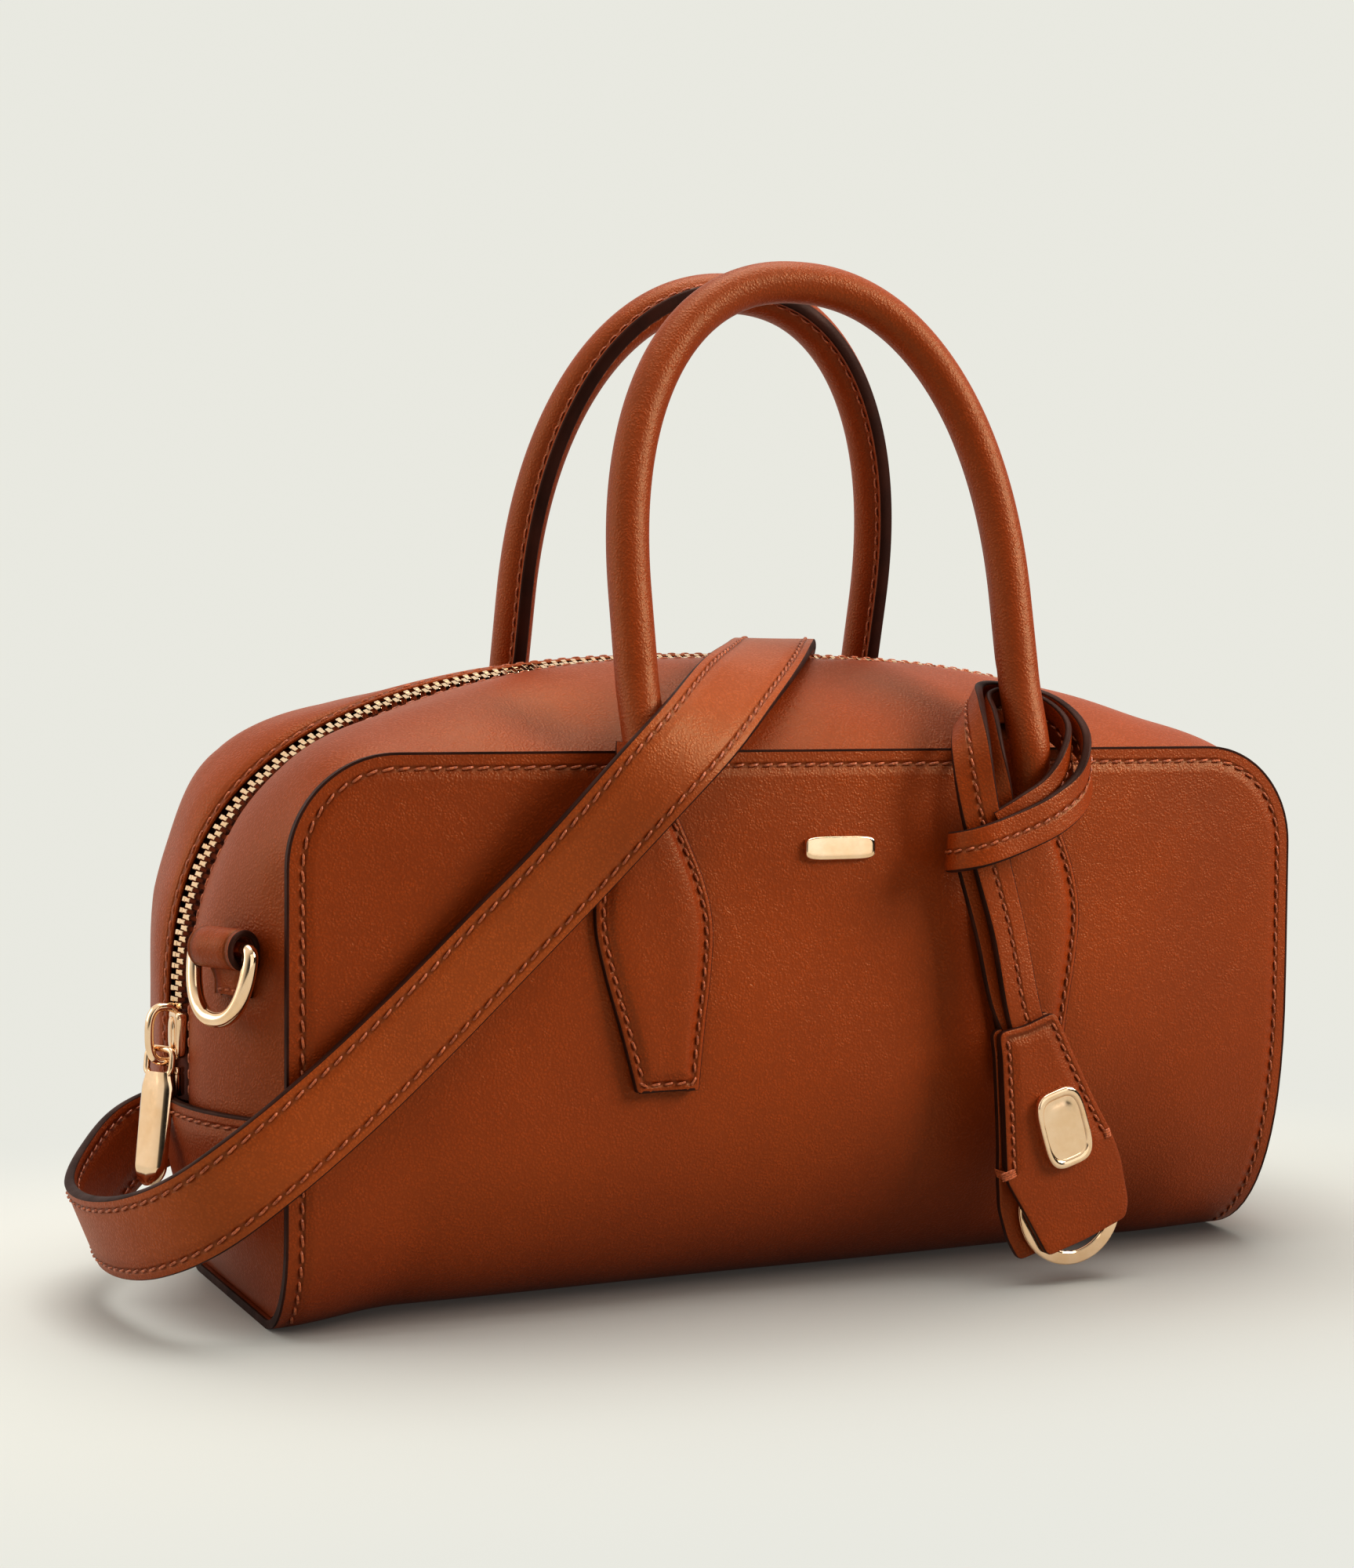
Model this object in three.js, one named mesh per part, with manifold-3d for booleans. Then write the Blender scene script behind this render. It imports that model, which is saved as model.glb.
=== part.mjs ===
// A small leather travel bag: a one-piece wrap for the front, base and back, a two-part top closed by a zip,
// end panels, two rolled handles, a shoulder strap, ring tabs with rings and a hang tag with a key ring.
// Millimetres. X runs along the bag, Y from front to back, Z up from the surface that the bag stands on.
import * as THREE from 'three';
import { mergeVertices } from 'three/addons/utils/BufferGeometryUtils.js';
import Module from 'manifold-3d';

// Driving dimensions of the body
const panelLength = 300;
const panelHeight = 147;
const bagDepth = 104;
const cornerRadius = 28;
const wrapLeather = 2.2;
const bandLeather = 1.8;
const gap = 0.3;
const seamGap = 0.8;
const panelPuff = 2.0;
const backRollShare = 0.8;
const seamInset = 1.2;
const ends = [['left', -1], ['right', 1]];

// Bottom roll along the bag: how far it reaches inward and how high it starts
const bottomRoll = [
  { x: -150, reach: 20, rise: 26 },
  { x: -112, reach: 34, rise: 46 },
  { x: 0, reach: 37, rise: 56 },
  { x: 112, reach: 39, rise: 68 },
  { x: 150, reach: 45, rise: 82 },
];

// Line of the zip, a rounded arch over the middle of the bag
const zipHalfLength = 164.5;
const zipSpring = 75;
const zipRise = 96;
const zipPower = 2.7;
const zipShoulder = 116;
const zipHip = 119;
const zipGap = 11;
const bandFoot = 54;
const tapeWidth = 15;
const tapeThick = 0.8;
const chainWidth = 5.6;
const chainThick = 2.0;
const chainLeftEnd = 78.8;

// Fullness of the two top bands: power of the rise from seam to zip, and the extra swell at corner and side
const bandShape = {
  front: { side: -1, power: 1.9, corner: 4, flank: 1 },
  back: { side: 1, power: 2.8, corner: 9, flank: 4 },
};
const cornerSwell = { at: 1.45, spread: 0.55 };
const flankSwell = { from: 1.5, over: 0.7 };
const handleDent = { x: 70, v: 0.3, depth: 3, length: 18, width: 0.28 };

// End panels
const endSwell = 17.4;
const endPower = 2.4;
const endFootPower = 2.2;

// Rolled handles and their sewn tabs
const handleHalf = 57.6;
const handleRadius = 5.7;
const handlePower = 2.2;
const handleSpring = 188;
const handleFoot = 147;
const tuckOver = 20;
const legLevels = [124, 132, 140, 147, 156, 165, 176];
const rollFlat = { over: 25, share: 0.5 };
const finWidth = 4.4;
const finHeight = 3.4;
const finSkin = 0.05;
const finStart = { z: 158, over: 17 };
const handles = [
  { name: 'front_handle', side: -1, centre: 0.6, apex: 274.8, lean: 28, tuck: 2, drift: { left: 8.2, right: -4 } },
  { name: 'back_handle', side: 1, centre: 1.0, apex: 277, lean: 34, tuck: 9, drift: { left: 8.2, right: 8.2 } },
];
const tabRows = [
  { z: 150, half: 5.8, rim: 2.4, crown: 6.2 },
  { z: 141, half: 6.6, rim: 2.4, crown: 6.0 },
  { z: 132, half: 8.6, rim: 2.3, crown: 5.6 },
  { z: 123, half: 11.8, rim: 2.2, crown: 5.2 },
  { z: 113, half: 15.0, rim: 2.2, crown: 4.8 },
  { z: 102, half: 16.4, rim: 2.2, crown: 4.4 },
  { z: 90, half: 14.9, rim: 2.2, crown: 4.2 },
  { z: 76, half: 12.0, rim: 2.2, crown: 3.9 },
  { z: 63, half: 9.5, rim: 2.2, crown: 3.2 },
  { z: 58.4, half: 8.7, rim: 2.2, crown: 2.2 },
];
const tabRimStart = 0.7;

// Ring tabs and D-rings on the two ends
const ringHalf = 10.6;
const ringDrop = 18;
const ringWire = 1.8;
const ringTabWidth = 16;
const ringPlay = 1.2;
const ringTabLeather = 2;
const ringTabTail = 12.5;
const ringTabSpot = { z: 98.3, from: 0.16, to: 0.5 };
const ringTilt = { left: 8, right: 55 };

// Zip slider, its pull and the end stop
const sliderSize = { thick: 3.2, width: 9, length: 12.4 };
const sliderSeat = 163.4;
const sliderHeight = 72;
const bail = { x: 168.4, z: 72.1, halfX: 4.3, halfZ: 7.2, wire: 1.0 };
const pull = {
  turn: 35,
  tilt: 8,
  eyeX: 169.6,
  eyeZ: 68.4,
  eyeHalf: 2.7,
  eyeDepth: 7.0,
  bar: 1.3,
  head: 4.1,
  neck: 5.0,
  shoulder: 10.0,
  half: 5.2,
  length: 35.8,
  thick: 1.5,
};
const stop = { radius: 2.1, length: 7.8, z: 59.6 };

// Shoulder strap and its two end clasps
const strapWidth = 23;
const strapThick = 3;
const claspWire = 1.6;
const claspRing = 6.6;
const claspSlack = 1.2;
const claspNeck = 9;
const claspBar = 2.4;
const claspInner = { width: 24.4, length: 5.2 };
const clasps = [
  { name: 'strap_clasp_upper', angle: 40, pullX: -0.25, pullY: 0.85, pullZ: 0.46 },
  { name: 'strap_clasp_lower', angle: 69, pullX: -0.2, pullY: 0.82, pullZ: -0.54 },
];
const strapFoldRows = { clear: 0.6, near: 5, nearLift: 2.6, far: 10, farLift: 1.9 };

// Route of the strap from the upper clasp over the back, the top and the front, round the left end, to the
// lower clasp: a point on its middle line and the direction that its outer face looks in
const strapRoute = [
  { x: 141, y: 83.5, z: 110.5, nx: 0.05, ny: 1, nz: 0.05 },
  { x: 122, y: 76, z: 115, nx: -0.3, ny: 1, nz: 0 },
  { x: 102, y: 67, z: 122, nx: -0.25, ny: 1, nz: 0.05 },
  { x: 82, y: 66, z: 130, nx: 0, ny: 1, nz: 0.1 },
  { x: 62, y: 70.5, z: 140.5, nx: 0.1, ny: 1, nz: 0.15 },
  { x: 47, y: 68.5, z: 153.5, nx: 0.1, ny: 1, nz: 0.3 },
  { x: 33, y: 48, z: 167.5, nx: 0, ny: 0.55, nz: 0.85 },
  { x: 19, y: 20, z: 175, nx: 0, ny: 0.15, nz: 1 },
  { x: 6, y: -4, z: 175.6, nx: 0, ny: -0.1, nz: 1 },
  { x: -7, y: -24, z: 172.2, nx: -0.05, ny: -0.4, nz: 0.9 },
  { x: -26.7, y: -48, z: 164.4, nx: -0.1, ny: -0.8, nz: 0.6 },
  { x: -45, y: -64, z: 152.6, nx: -0.1, ny: -1, nz: 0.25 },
  { x: -59, y: -68, z: 140.6, nx: -0.05, ny: -1, nz: 0.1 },
  { x: -80, y: -62.5, z: 117, nx: 0.05, ny: -1, nz: 0.03 },
  { x: -97, y: -58.5, z: 99.2, nx: 0, ny: -1, nz: 0 },
  { x: -118, y: -57, z: 78.9, nx: 0, ny: -1, nz: 0 },
  { x: -138, y: -57, z: 61.5, nx: -0.05, ny: -1, nz: 0 },
  { x: -157.7, y: -56, z: 46, nx: -0.2, ny: -1, nz: -0.05 },
  { x: -172, y: -49, z: 34.3, nx: -0.5, ny: -0.85, nz: -0.15 },
  { x: -181.5, y: -33, z: 26.4, nx: -0.78, ny: -0.55, nz: -0.27 },
  { x: -187, y: -8, z: 22, nx: -0.91, ny: -0.13, nz: -0.37 },
  { x: -186.5, y: 15, z: 22.4, nx: -0.9, ny: 0.25, nz: -0.36 },
  { x: -178, y: 36, z: 27.6, nx: -0.65, ny: 0.7, nz: -0.22 },
  { x: -164.5, y: 53, z: 34.8, nx: -0.3, ny: 0.95, nz: -0.08 },
  { x: -150, y: 57, z: 39.5, nx: -0.05, ny: 1, nz: 0 },
  { x: -132, y: 57.6, z: 44.6, nx: 0, ny: 1, nz: 0 },
  { x: -100, y: 57.2, z: 50.5, nx: 0, ny: 1, nz: 0 },
  { x: -66, y: 61.5, z: 54, nx: 0, ny: 1, nz: 0 },
  { x: -34, y: 60, z: 56.5, nx: 0, ny: 1, nz: 0 },
  { x: 4, y: 57.4, z: 58.5, nx: 0, ny: 1, nz: 0 },
  { x: 42, y: 60, z: 60, nx: 0, ny: 1, nz: 0 },
  { x: 76, y: 59.5, z: 61, nx: 0, ny: 1, nz: 0 },
  { x: 104, y: 60.5, z: 61, nx: -0.1, ny: 1, nz: 0 },
  { x: 126, y: 70, z: 60.6, nx: -0.4, ny: 1, nz: 0 },
  { x: 147, y: 79, z: 61.5, nx: -0.1, ny: 1, nz: 0 },
];

// Hang tag: a doubled narrow strap round the right front handle, a two-layer tag and a key ring
const tagStrapWidth = 11;
const tagStrapThick = 2.6;
const tagRoute = [
  { x: 55.3, y: -66.6, z: 66, nx: 0, ny: -1, nz: 0 },
  { x: 51.6, y: -66.6, z: 78, nx: 0, ny: -1, nz: 0 },
  { x: 48, y: -65, z: 98, nx: 0.05, ny: -1, nz: 0 },
  { x: 42.5, y: -64.4, z: 118, nx: -0.1, ny: -1, nz: 0 },
  { x: 37.5, y: -66, z: 134, nx: -0.35, ny: -1, nz: 0.1 },
  { x: 36.5, y: -64, z: 148, nx: -0.7, ny: -0.8, nz: 0.2 },
  { x: 41, y: -55, z: 158, nx: -0.9, ny: -0.1, nz: 0.4 },
  { x: 50, y: -43.5, z: 162, nx: -0.6, ny: 0.7, nz: 0.35 },
  { x: 61, y: -41, z: 161, nx: 0.2, ny: 1, nz: 0.3 },
  { x: 70.5, y: -48.5, z: 157, nx: 0.9, ny: 0.5, nz: 0.25 },
  { x: 74, y: -60.5, z: 148.5, nx: 1, ny: -0.25, nz: 0.1 },
  { x: 70, y: -67, z: 137.5, nx: 0.65, ny: -0.8, nz: 0.1 },
  { x: 60, y: -70.6, z: 128.5, nx: 0.2, ny: -1, nz: 0.1 },
  { x: 48, y: -71, z: 122, nx: -0.05, ny: -1, nz: 0.1 },
  { x: 38, y: -70, z: 117.6, nx: -0.5, ny: -0.9, nz: 0.1 },
  { x: 33.6, y: -66.4, z: 115.4, nx: -1, ny: -0.1, nz: 0.1 },
];
const tag = { x: 53.0, y: -66.6, z: 73.5, lean: 17, thick: 5.8, layer: 1.5 };
const tagOutline = [
  { across: -8.0, down: 0 },
  { across: -9.4, down: 2 },
  { across: -17.6, down: 52 },
  { across: -16.2, down: 58.5 },
  { across: -11, down: 61.5 },
  { across: 11, down: 61.5 },
  { across: 16.2, down: 58.5 },
  { across: 17.6, down: 52 },
  { across: 9.4, down: 2 },
  { across: 8.0, down: 0 },
];
const tagMouth = { half: 22, top: 38.5, bottom: 70 };
const keyRing = { radius: 14.2, wire: 1.0, down: 54.4, across: 0 };
const ornament = { width: 15, height: 22, thick: 2.6, round: 6, down: 30, across: 0 };
const frontBar = { x: 2, z: 121, width: 21, height: 6.4, thick: 1.6, round: 2.2 };

// Finishes
const tanLeather = { color: 0x8a4422, roughness: 0.52, metalness: 0 };
const paleGold = { color: 0xdcc190, roughness: 0.18, metalness: 1 };
const brownTape = { color: 0x6b2f18, roughness: 0.85, metalness: 0 };

const wasm = await Module();
wasm.setup();
const bag = new THREE.Group();

function point(x, y, z) {
  return new THREE.Vector3(x, y, z);
}

function mix(a, b, t) {
  return a + (b - a) * t;
}

function steps(count) {
  return Array.from({ length: count + 1 }, (_, i) => i / count);
}

// Value between the rows of a short table, with a smooth passage from row to row
function readTable(rows, along, key, at) {
  const up = rows[0][along] < rows[rows.length - 1][along];
  const sorted = up ? rows : [...rows].reverse();
  if (at <= sorted[0][along]) return sorted[0][key];
  for (let i = 1; i < sorted.length; i++) {
    const low = sorted[i - 1];
    const high = sorted[i];
    if (at <= high[along]) {
      const t = (at - low[along]) / (high[along] - low[along]);
      return mix(low[key], high[key], t * t * (3 - 2 * t));
    }
  }
  return sorted[sorted.length - 1][key];
}

function volumeOf(positions, index) {
  const a = new THREE.Vector3();
  const b = new THREE.Vector3();
  const c = new THREE.Vector3();
  let sum = 0;
  for (let i = 0; i < index.length; i += 3) {
    a.fromArray(positions, index[i] * 3);
    b.fromArray(positions, index[i + 1] * 3);
    c.fromArray(positions, index[i + 2] * 3);
    sum += a.dot(b.cross(c));
  }
  return sum / 6;
}

function geometryFrom(positions, index) {
  const order = volumeOf(positions, index) < 0 ? [...index].reverse() : index;
  const geometry = new THREE.BufferGeometry();
  geometry.setAttribute('position', new THREE.Float32BufferAttribute(positions, 3));
  geometry.setIndex(order);
  return geometry;
}

// Closed body between two grids of points with the same rows and columns
function slab(outer, inner) {
  const rows = outer.length;
  const columns = outer[0].length;
  const positions = [];
  for (const grid of [outer, inner]) {
    for (const row of grid) row.forEach((p) => positions.push(p.x, p.y, p.z));
  }
  const at = (layer, r, c) => layer * rows * columns + r * columns + c;
  const index = [];
  const quad = (a, b, c, d) => index.push(a, b, c, a, c, d);
  for (let r = 0; r + 1 < rows; r++) {
    for (let c = 0; c + 1 < columns; c++) {
      quad(at(0, r, c), at(0, r + 1, c), at(0, r + 1, c + 1), at(0, r, c + 1));
      quad(at(1, r, c), at(1, r, c + 1), at(1, r + 1, c + 1), at(1, r + 1, c));
    }
  }
  for (let r = 0; r + 1 < rows; r++) {
    quad(at(0, r, 0), at(1, r, 0), at(1, r + 1, 0), at(0, r + 1, 0));
    const last = columns - 1;
    quad(at(0, r, last), at(0, r + 1, last), at(1, r + 1, last), at(1, r, last));
  }
  for (let c = 0; c + 1 < columns; c++) {
    quad(at(0, 0, c), at(0, 0, c + 1), at(1, 0, c + 1), at(1, 0, c));
    const last = rows - 1;
    quad(at(0, last, c), at(1, last, c), at(1, last, c + 1), at(0, last, c + 1));
  }
  return geometryFrom(positions, index);
}

// Grid moved along its own normals; the normal is the row direction crossed with the column direction
function offsetGrid(grid, distance) {
  const rows = grid.length;
  const columns = grid[0].length;
  return grid.map((row, r) => row.map((p, c) => {
    const along = grid[Math.min(r + 1, rows - 1)][c].clone().sub(grid[Math.max(r - 1, 0)][c]);
    const across = grid[r][Math.min(c + 1, columns - 1)].clone().sub(grid[r][Math.max(c - 1, 0)]);
    return p.clone().addScaledVector(along.cross(across).normalize(), distance);
  }));
}

function sheet(grid, thickness) {
  return slab(grid, offsetGrid(grid, thickness));
}

// Closed body through rings of points, closed into a ring itself or capped by a fan at each end
function loft(rings, closed) {
  const sides = rings[0].length;
  const count = rings.length;
  const positions = [];
  rings.forEach((ring) => ring.forEach((p) => positions.push(p.x, p.y, p.z)));
  const index = [];
  const spans = closed ? count : count - 1;
  for (let r = 0; r < spans; r++) {
    const next = (r + 1) % count;
    for (let s = 0; s < sides; s++) {
      const t = (s + 1) % sides;
      index.push(r * sides + s, r * sides + t, next * sides + t);
      index.push(r * sides + s, next * sides + t, next * sides + s);
    }
  }
  if (!closed) {
    for (const end of [0, count - 1]) {
      const centre = rings[end].reduce((sum, p) => sum.add(p), point(0, 0, 0)).divideScalar(sides);
      const middle = positions.length / 3;
      positions.push(centre.x, centre.y, centre.z);
      for (let s = 0; s < sides; s++) {
        const a = end * sides + s;
        const b = end * sides + (s + 1) % sides;
        if (end === 0) index.push(middle, b, a);
        else index.push(middle, a, b);
      }
    }
  }
  return geometryFrom(positions, index);
}

function directionsAlong(points, closed) {
  const count = points.length;
  return points.map((p, i) => {
    const before = points[closed ? (i + count - 1) % count : Math.max(i - 1, 0)];
    const after = points[closed ? (i + 1) % count : Math.min(i + 1, count - 1)];
    return after.clone().sub(before).normalize();
  });
}

// Round wire along a path that lies in a plane with the given normal
function wire(points, radius, sides, planeNormal, closed) {
  const forward = directionsAlong(points, closed);
  const rings = points.map((p, i) => {
    const across = new THREE.Vector3().crossVectors(planeNormal, forward[i]).normalize();
    return steps(sides).slice(0, sides).map((t) => {
      const angle = t * Math.PI * 2;
      const ringPoint = p.clone().addScaledVector(across, Math.cos(angle) * radius);
      return ringPoint.addScaledVector(planeNormal, Math.sin(angle) * radius);
    });
  });
  return loft(rings, closed);
}

// Flat strip along a route of points with face directions
function strip(route, width, thick, stepsPerRow) {
  const path = new THREE.CatmullRomCurve3(route.map((r) => point(r.x, r.y, r.z)), false, 'centripetal');
  const face = new THREE.CatmullRomCurve3(route.map((r) => point(r.nx, r.ny, r.nz)), false, 'centripetal');
  const count = (route.length - 1) * stepsPerRow;
  const middle = steps(count).map((t) => path.getPoint(t));
  const forward = directionsAlong(middle, false);
  const grids = [[], []];
  steps(count).forEach((t, i) => {
    const along = forward[i];
    const across = new THREE.Vector3().crossVectors(face.getPoint(t), along).normalize();
    const up = new THREE.Vector3().crossVectors(along, across).normalize();
    [1, -1].forEach((sign, layer) => {
      grids[layer].push([-1, 1].map((edge) => middle[i].clone()
        .addScaledVector(across, edge * width / 2)
        .addScaledVector(up, sign * thick / 2)));
    });
  });
  return slab(grids[0], grids[1]);
}

function toSolid(geometry) {
  const bare = geometry.clone();
  bare.deleteAttribute('normal');
  bare.deleteAttribute('uv');
  const merged = mergeVertices(bare, 1e-4);
  const vertProperties = new Float32Array(merged.attributes.position.array);
  const triVerts = new Uint32Array(merged.index.array);
  return new wasm.Manifold(new wasm.Mesh({ numProp: 3, vertProperties, triVerts }));
}

function fromSolid(solid) {
  const mesh = solid.getMesh();
  const positions = Array.from(mesh.vertProperties);
  return geometryFrom(positions, Array.from(mesh.triVerts));
}

function fuse(...geometries) {
  return fromSolid(geometries.map(toSolid).reduce((a, b) => a.add(b)));
}

function cut(geometry, ...tools) {
  return fromSolid(tools.map(toSolid).reduce((a, b) => a.subtract(b), toSolid(geometry)));
}

function addPiece(name, geometry, finish) {
  const bare = geometry.clone();
  bare.deleteAttribute('normal');
  bare.deleteAttribute('uv');
  const mesh = new THREE.Mesh(mergeVertices(bare, 1e-4), new THREE.MeshStandardMaterial(finish));
  mesh.name = name;
  bag.add(mesh);
  return mesh;
}

// Placement whose X, Y and Z axes are the given directions
function frameAt(origin, axisX, axisY, axisZ) {
  return new THREE.Matrix4().makeBasis(axisX, axisY, axisZ).setPosition(origin);
}

// Body surfaces

function rollAt(x) {
  return {
    reach: readTable(bottomRoll, 'x', 'reach', x),
    rise: readTable(bottomRoll, 'x', 'rise', x),
  };
}

function panelTop(x) {
  const over = Math.max(0, Math.abs(x) - (panelLength / 2 - cornerRadius));
  return panelHeight - cornerRadius + Math.sqrt(Math.max(0, cornerRadius ** 2 - over ** 2));
}

// Soft swell of the front and back faces, gone at the sewn edges
function puffAt(x, z) {
  const along = Math.max(0, 1 - (x / (panelLength / 2)) ** 2);
  return panelPuff * along * Math.sin(Math.PI * Math.min(1, Math.max(0, z / panelHeight)));
}

// Distance of the wall's outer face from the middle plane at one place
function wallY(side, x, z) {
  const { reach, rise } = rollAt(x);
  const share = side > 0 ? backRollShare : 1;
  const below = Math.max(0, (rise - z) / rise);
  const roll = reach * share * (1 - Math.sqrt(Math.max(0, 1 - below ** 2)));
  return bagDepth / 2 - roll + puffAt(x, z);
}

// Half-depth that the end panels and top bands may fill, inside the wrap
function seamY(side, x, z) {
  const { reach, rise } = rollAt(x);
  const share = side > 0 ? backRollShare : 1;
  const inset = wrapLeather + seamGap;
  const below = Math.min(1, Math.max(0, (rise - z) / (rise - inset - gap)));
  return bagDepth / 2 - reach * share + (reach * share - inset) * Math.sqrt(1 - below ** 2);
}

const wallSteps = 5;
const rollSteps = 5;

// Outer line of the wrap at one station, from the front edge down, across the base and up to the back edge
function wrapLine(x) {
  const { reach, rise } = rollAt(x);
  const top = panelTop(x);
  const halves = [-1, 1].map((side) => {
    const share = side > 0 ? backRollShare : 1;
    const wall = steps(wallSteps).slice(0, wallSteps).map((t) => {
      const z = mix(top, rise, t);
      return point(x, side * wallY(side, x, z), z);
    });
    const roll = steps(rollSteps).map((t) => {
      const angle = t * Math.PI / 2;
      const z = rise * (1 - Math.sin(angle));
      const y = bagDepth / 2 - reach * share * (1 - Math.cos(angle)) + puffAt(x, z);
      return point(x, side * y, z);
    });
    return [...wall, ...roll];
  });
  return [...halves[0], point(x, 0, 0), ...halves[1].reverse()];
}

function wrapStations() {
  const straight = panelLength / 2 - cornerRadius;
  const corner = steps(6).map((t) => straight + cornerRadius * Math.sin(t * Math.PI / 2));
  const right = [...[0, 0.3, 0.65].map((t) => t * straight), ...corner];
  return [...right.slice(1).reverse().map((x) => -x), ...right];
}

// Seam line of the top bands, level with the panel edge: s is 0 at the top middle, 1 and 2 at the ends of the
// corner and 3 at the foot; the sign gives the end of the bag
function seamLine(s) {
  const sign = Math.sign(s);
  const u = Math.abs(s);
  const half = panelLength / 2 - seamInset;
  const top = panelHeight - seamInset;
  const radius = cornerRadius - seamInset;
  if (u <= 1) return { x: sign * u * (half - radius), z: top };
  if (u <= 2) {
    const angle = (u - 1) * Math.PI / 2;
    return { x: sign * (half - radius + radius * Math.sin(angle)), z: top - radius * (1 - Math.cos(angle)) };
  }
  return { x: sign * half, z: mix(top - radius, bandFoot, u - 2) };
}

function zipHeight(x) {
  return zipSpring + zipRise * (1 - Math.abs(x / zipHalfLength) ** zipPower) ** (1 / zipPower);
}

// Line of the zip at the same places along the arch
function zipLine(s) {
  const sign = Math.sign(s);
  const u = Math.abs(s);
  if (u <= 1) return { x: sign * u * zipShoulder, z: zipHeight(u * zipShoulder) };
  const first = Math.acos((zipShoulder / zipHalfLength) ** (zipPower / 2));
  const last = Math.asin(((zipHip - zipSpring) / zipRise) ** (zipPower / 2));
  if (u <= 2) {
    const angle = mix(first, last, u - 1);
    return {
      x: sign * zipHalfLength * Math.cos(angle) ** (2 / zipPower),
      z: zipSpring + zipRise * Math.sin(angle) ** (2 / zipPower),
    };
  }
  const z = mix(zipHip, bandFoot, u - 2);
  const above = Math.max(0, (z - zipSpring) / zipRise);
  return { x: sign * zipHalfLength * (1 - above ** zipPower) ** (1 / zipPower), z };
}

// Outward direction of the zip line, in the plane of the bag's length and height
function zipNormal(s) {
  const a = zipLine(Math.max(-3, s - 0.04));
  const b = zipLine(Math.min(3, s + 0.04));
  return point(-(b.z - a.z), 0, b.x - a.x).normalize();
}

function bandStations() {
  const right = [
    ...steps(7).slice(0, 7),
    ...steps(7).slice(0, 7).map((t) => 1 + t),
    ...steps(5).map((t) => 2 + t),
  ];
  return [...right.slice(1).reverse().map((s) => -s), ...right];
}

// Top band from the sewn edge (v = 0) to the zip (v = 1)
function bandPoint(shape, s, v) {
  const seam = seamLine(s);
  const zip = zipLine(s);
  const rise = 1 - (1 - v) ** shape.power;
  const u = Math.abs(s);
  const atCorner = Math.exp(-(((u - cornerSwell.at) / cornerSwell.spread) ** 2));
  const atFlank = Math.min(1, Math.max(0, (u - flankSwell.from) / flankSwell.over));
  const swell = (shape.corner * atCorner + shape.flank * atFlank) * 4 * v * (1 - v);
  const x = mix(seam.x, zip.x, rise);
  const z = mix(seam.z, zip.z, rise);
  const dentFar = ((shape.side * x - handleDent.x) / handleDent.length) ** 2;
  const dent = handleDent.depth * Math.exp(-dentFar - ((v - handleDent.v) / handleDent.width) ** 2);
  const y = mix(seamY(shape.side, seam.x, seam.z), zipGap / 2, v);
  return point(x, shape.side * y, z).addScaledVector(zipNormal(s), swell - dent);
}

function zipStrip(fromY, toY, fromDepth, toDepth, places) {
  const grid = (depth) => places.map((s) => [fromY, toY].map((y) => {
    const line = zipLine(s);
    return point(line.x, y, line.z).addScaledVector(zipNormal(s), -depth);
  }));
  return slab(grid(fromDepth), grid(toDepth));
}

// End panel: rows from the top edge down to the base, columns from front to back
function endPoint(end, z, v) {
  const low = wrapLeather + gap;
  const t = (z - low) / (bandFoot - low);
  const swell = endSwell * (1 - (1 - t) ** endFootPower) * (1 - Math.abs(v) ** endPower);
  const x = end * (panelLength / 2 - seamInset);
  return point(x + end * swell, v * seamY(Math.sign(v), x, z), z);
}

function buildBody() {
  const wrap = wrapStations().map(wrapLine);
  addPiece('main_panel', sheet(wrap, wrapLeather), tanLeather);
  const acrossBand = [0, 0.14, 0.3, 0.52, 0.76, 1];
  for (const [name, shape] of Object.entries(bandShape)) {
    const grid = bandStations().map((s) => acrossBand.map((v) => bandPoint(shape, s, v)));
    addPiece(`top_band_${name}`, sheet(grid, shape.side * bandLeather), tanLeather);
  }
  const upEnd = [0, 0.04, 0.1, 0.2, 0.34, 0.52, 0.75, 1];
  const acrossEnd = [-1, -0.85, -0.6, -0.3, 0, 0.3, 0.6, 0.85, 1];
  for (const [name, end] of ends) {
    const levels = upEnd.map((t) => mix(wrapLeather + gap, bandFoot - gap, t));
    const grid = levels.map((z) => acrossEnd.map((v) => endPoint(end, z, v)));
    addPiece(`end_panel_${name}`, sheet(grid, end * bandLeather), tanLeather);
  }
}

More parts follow.
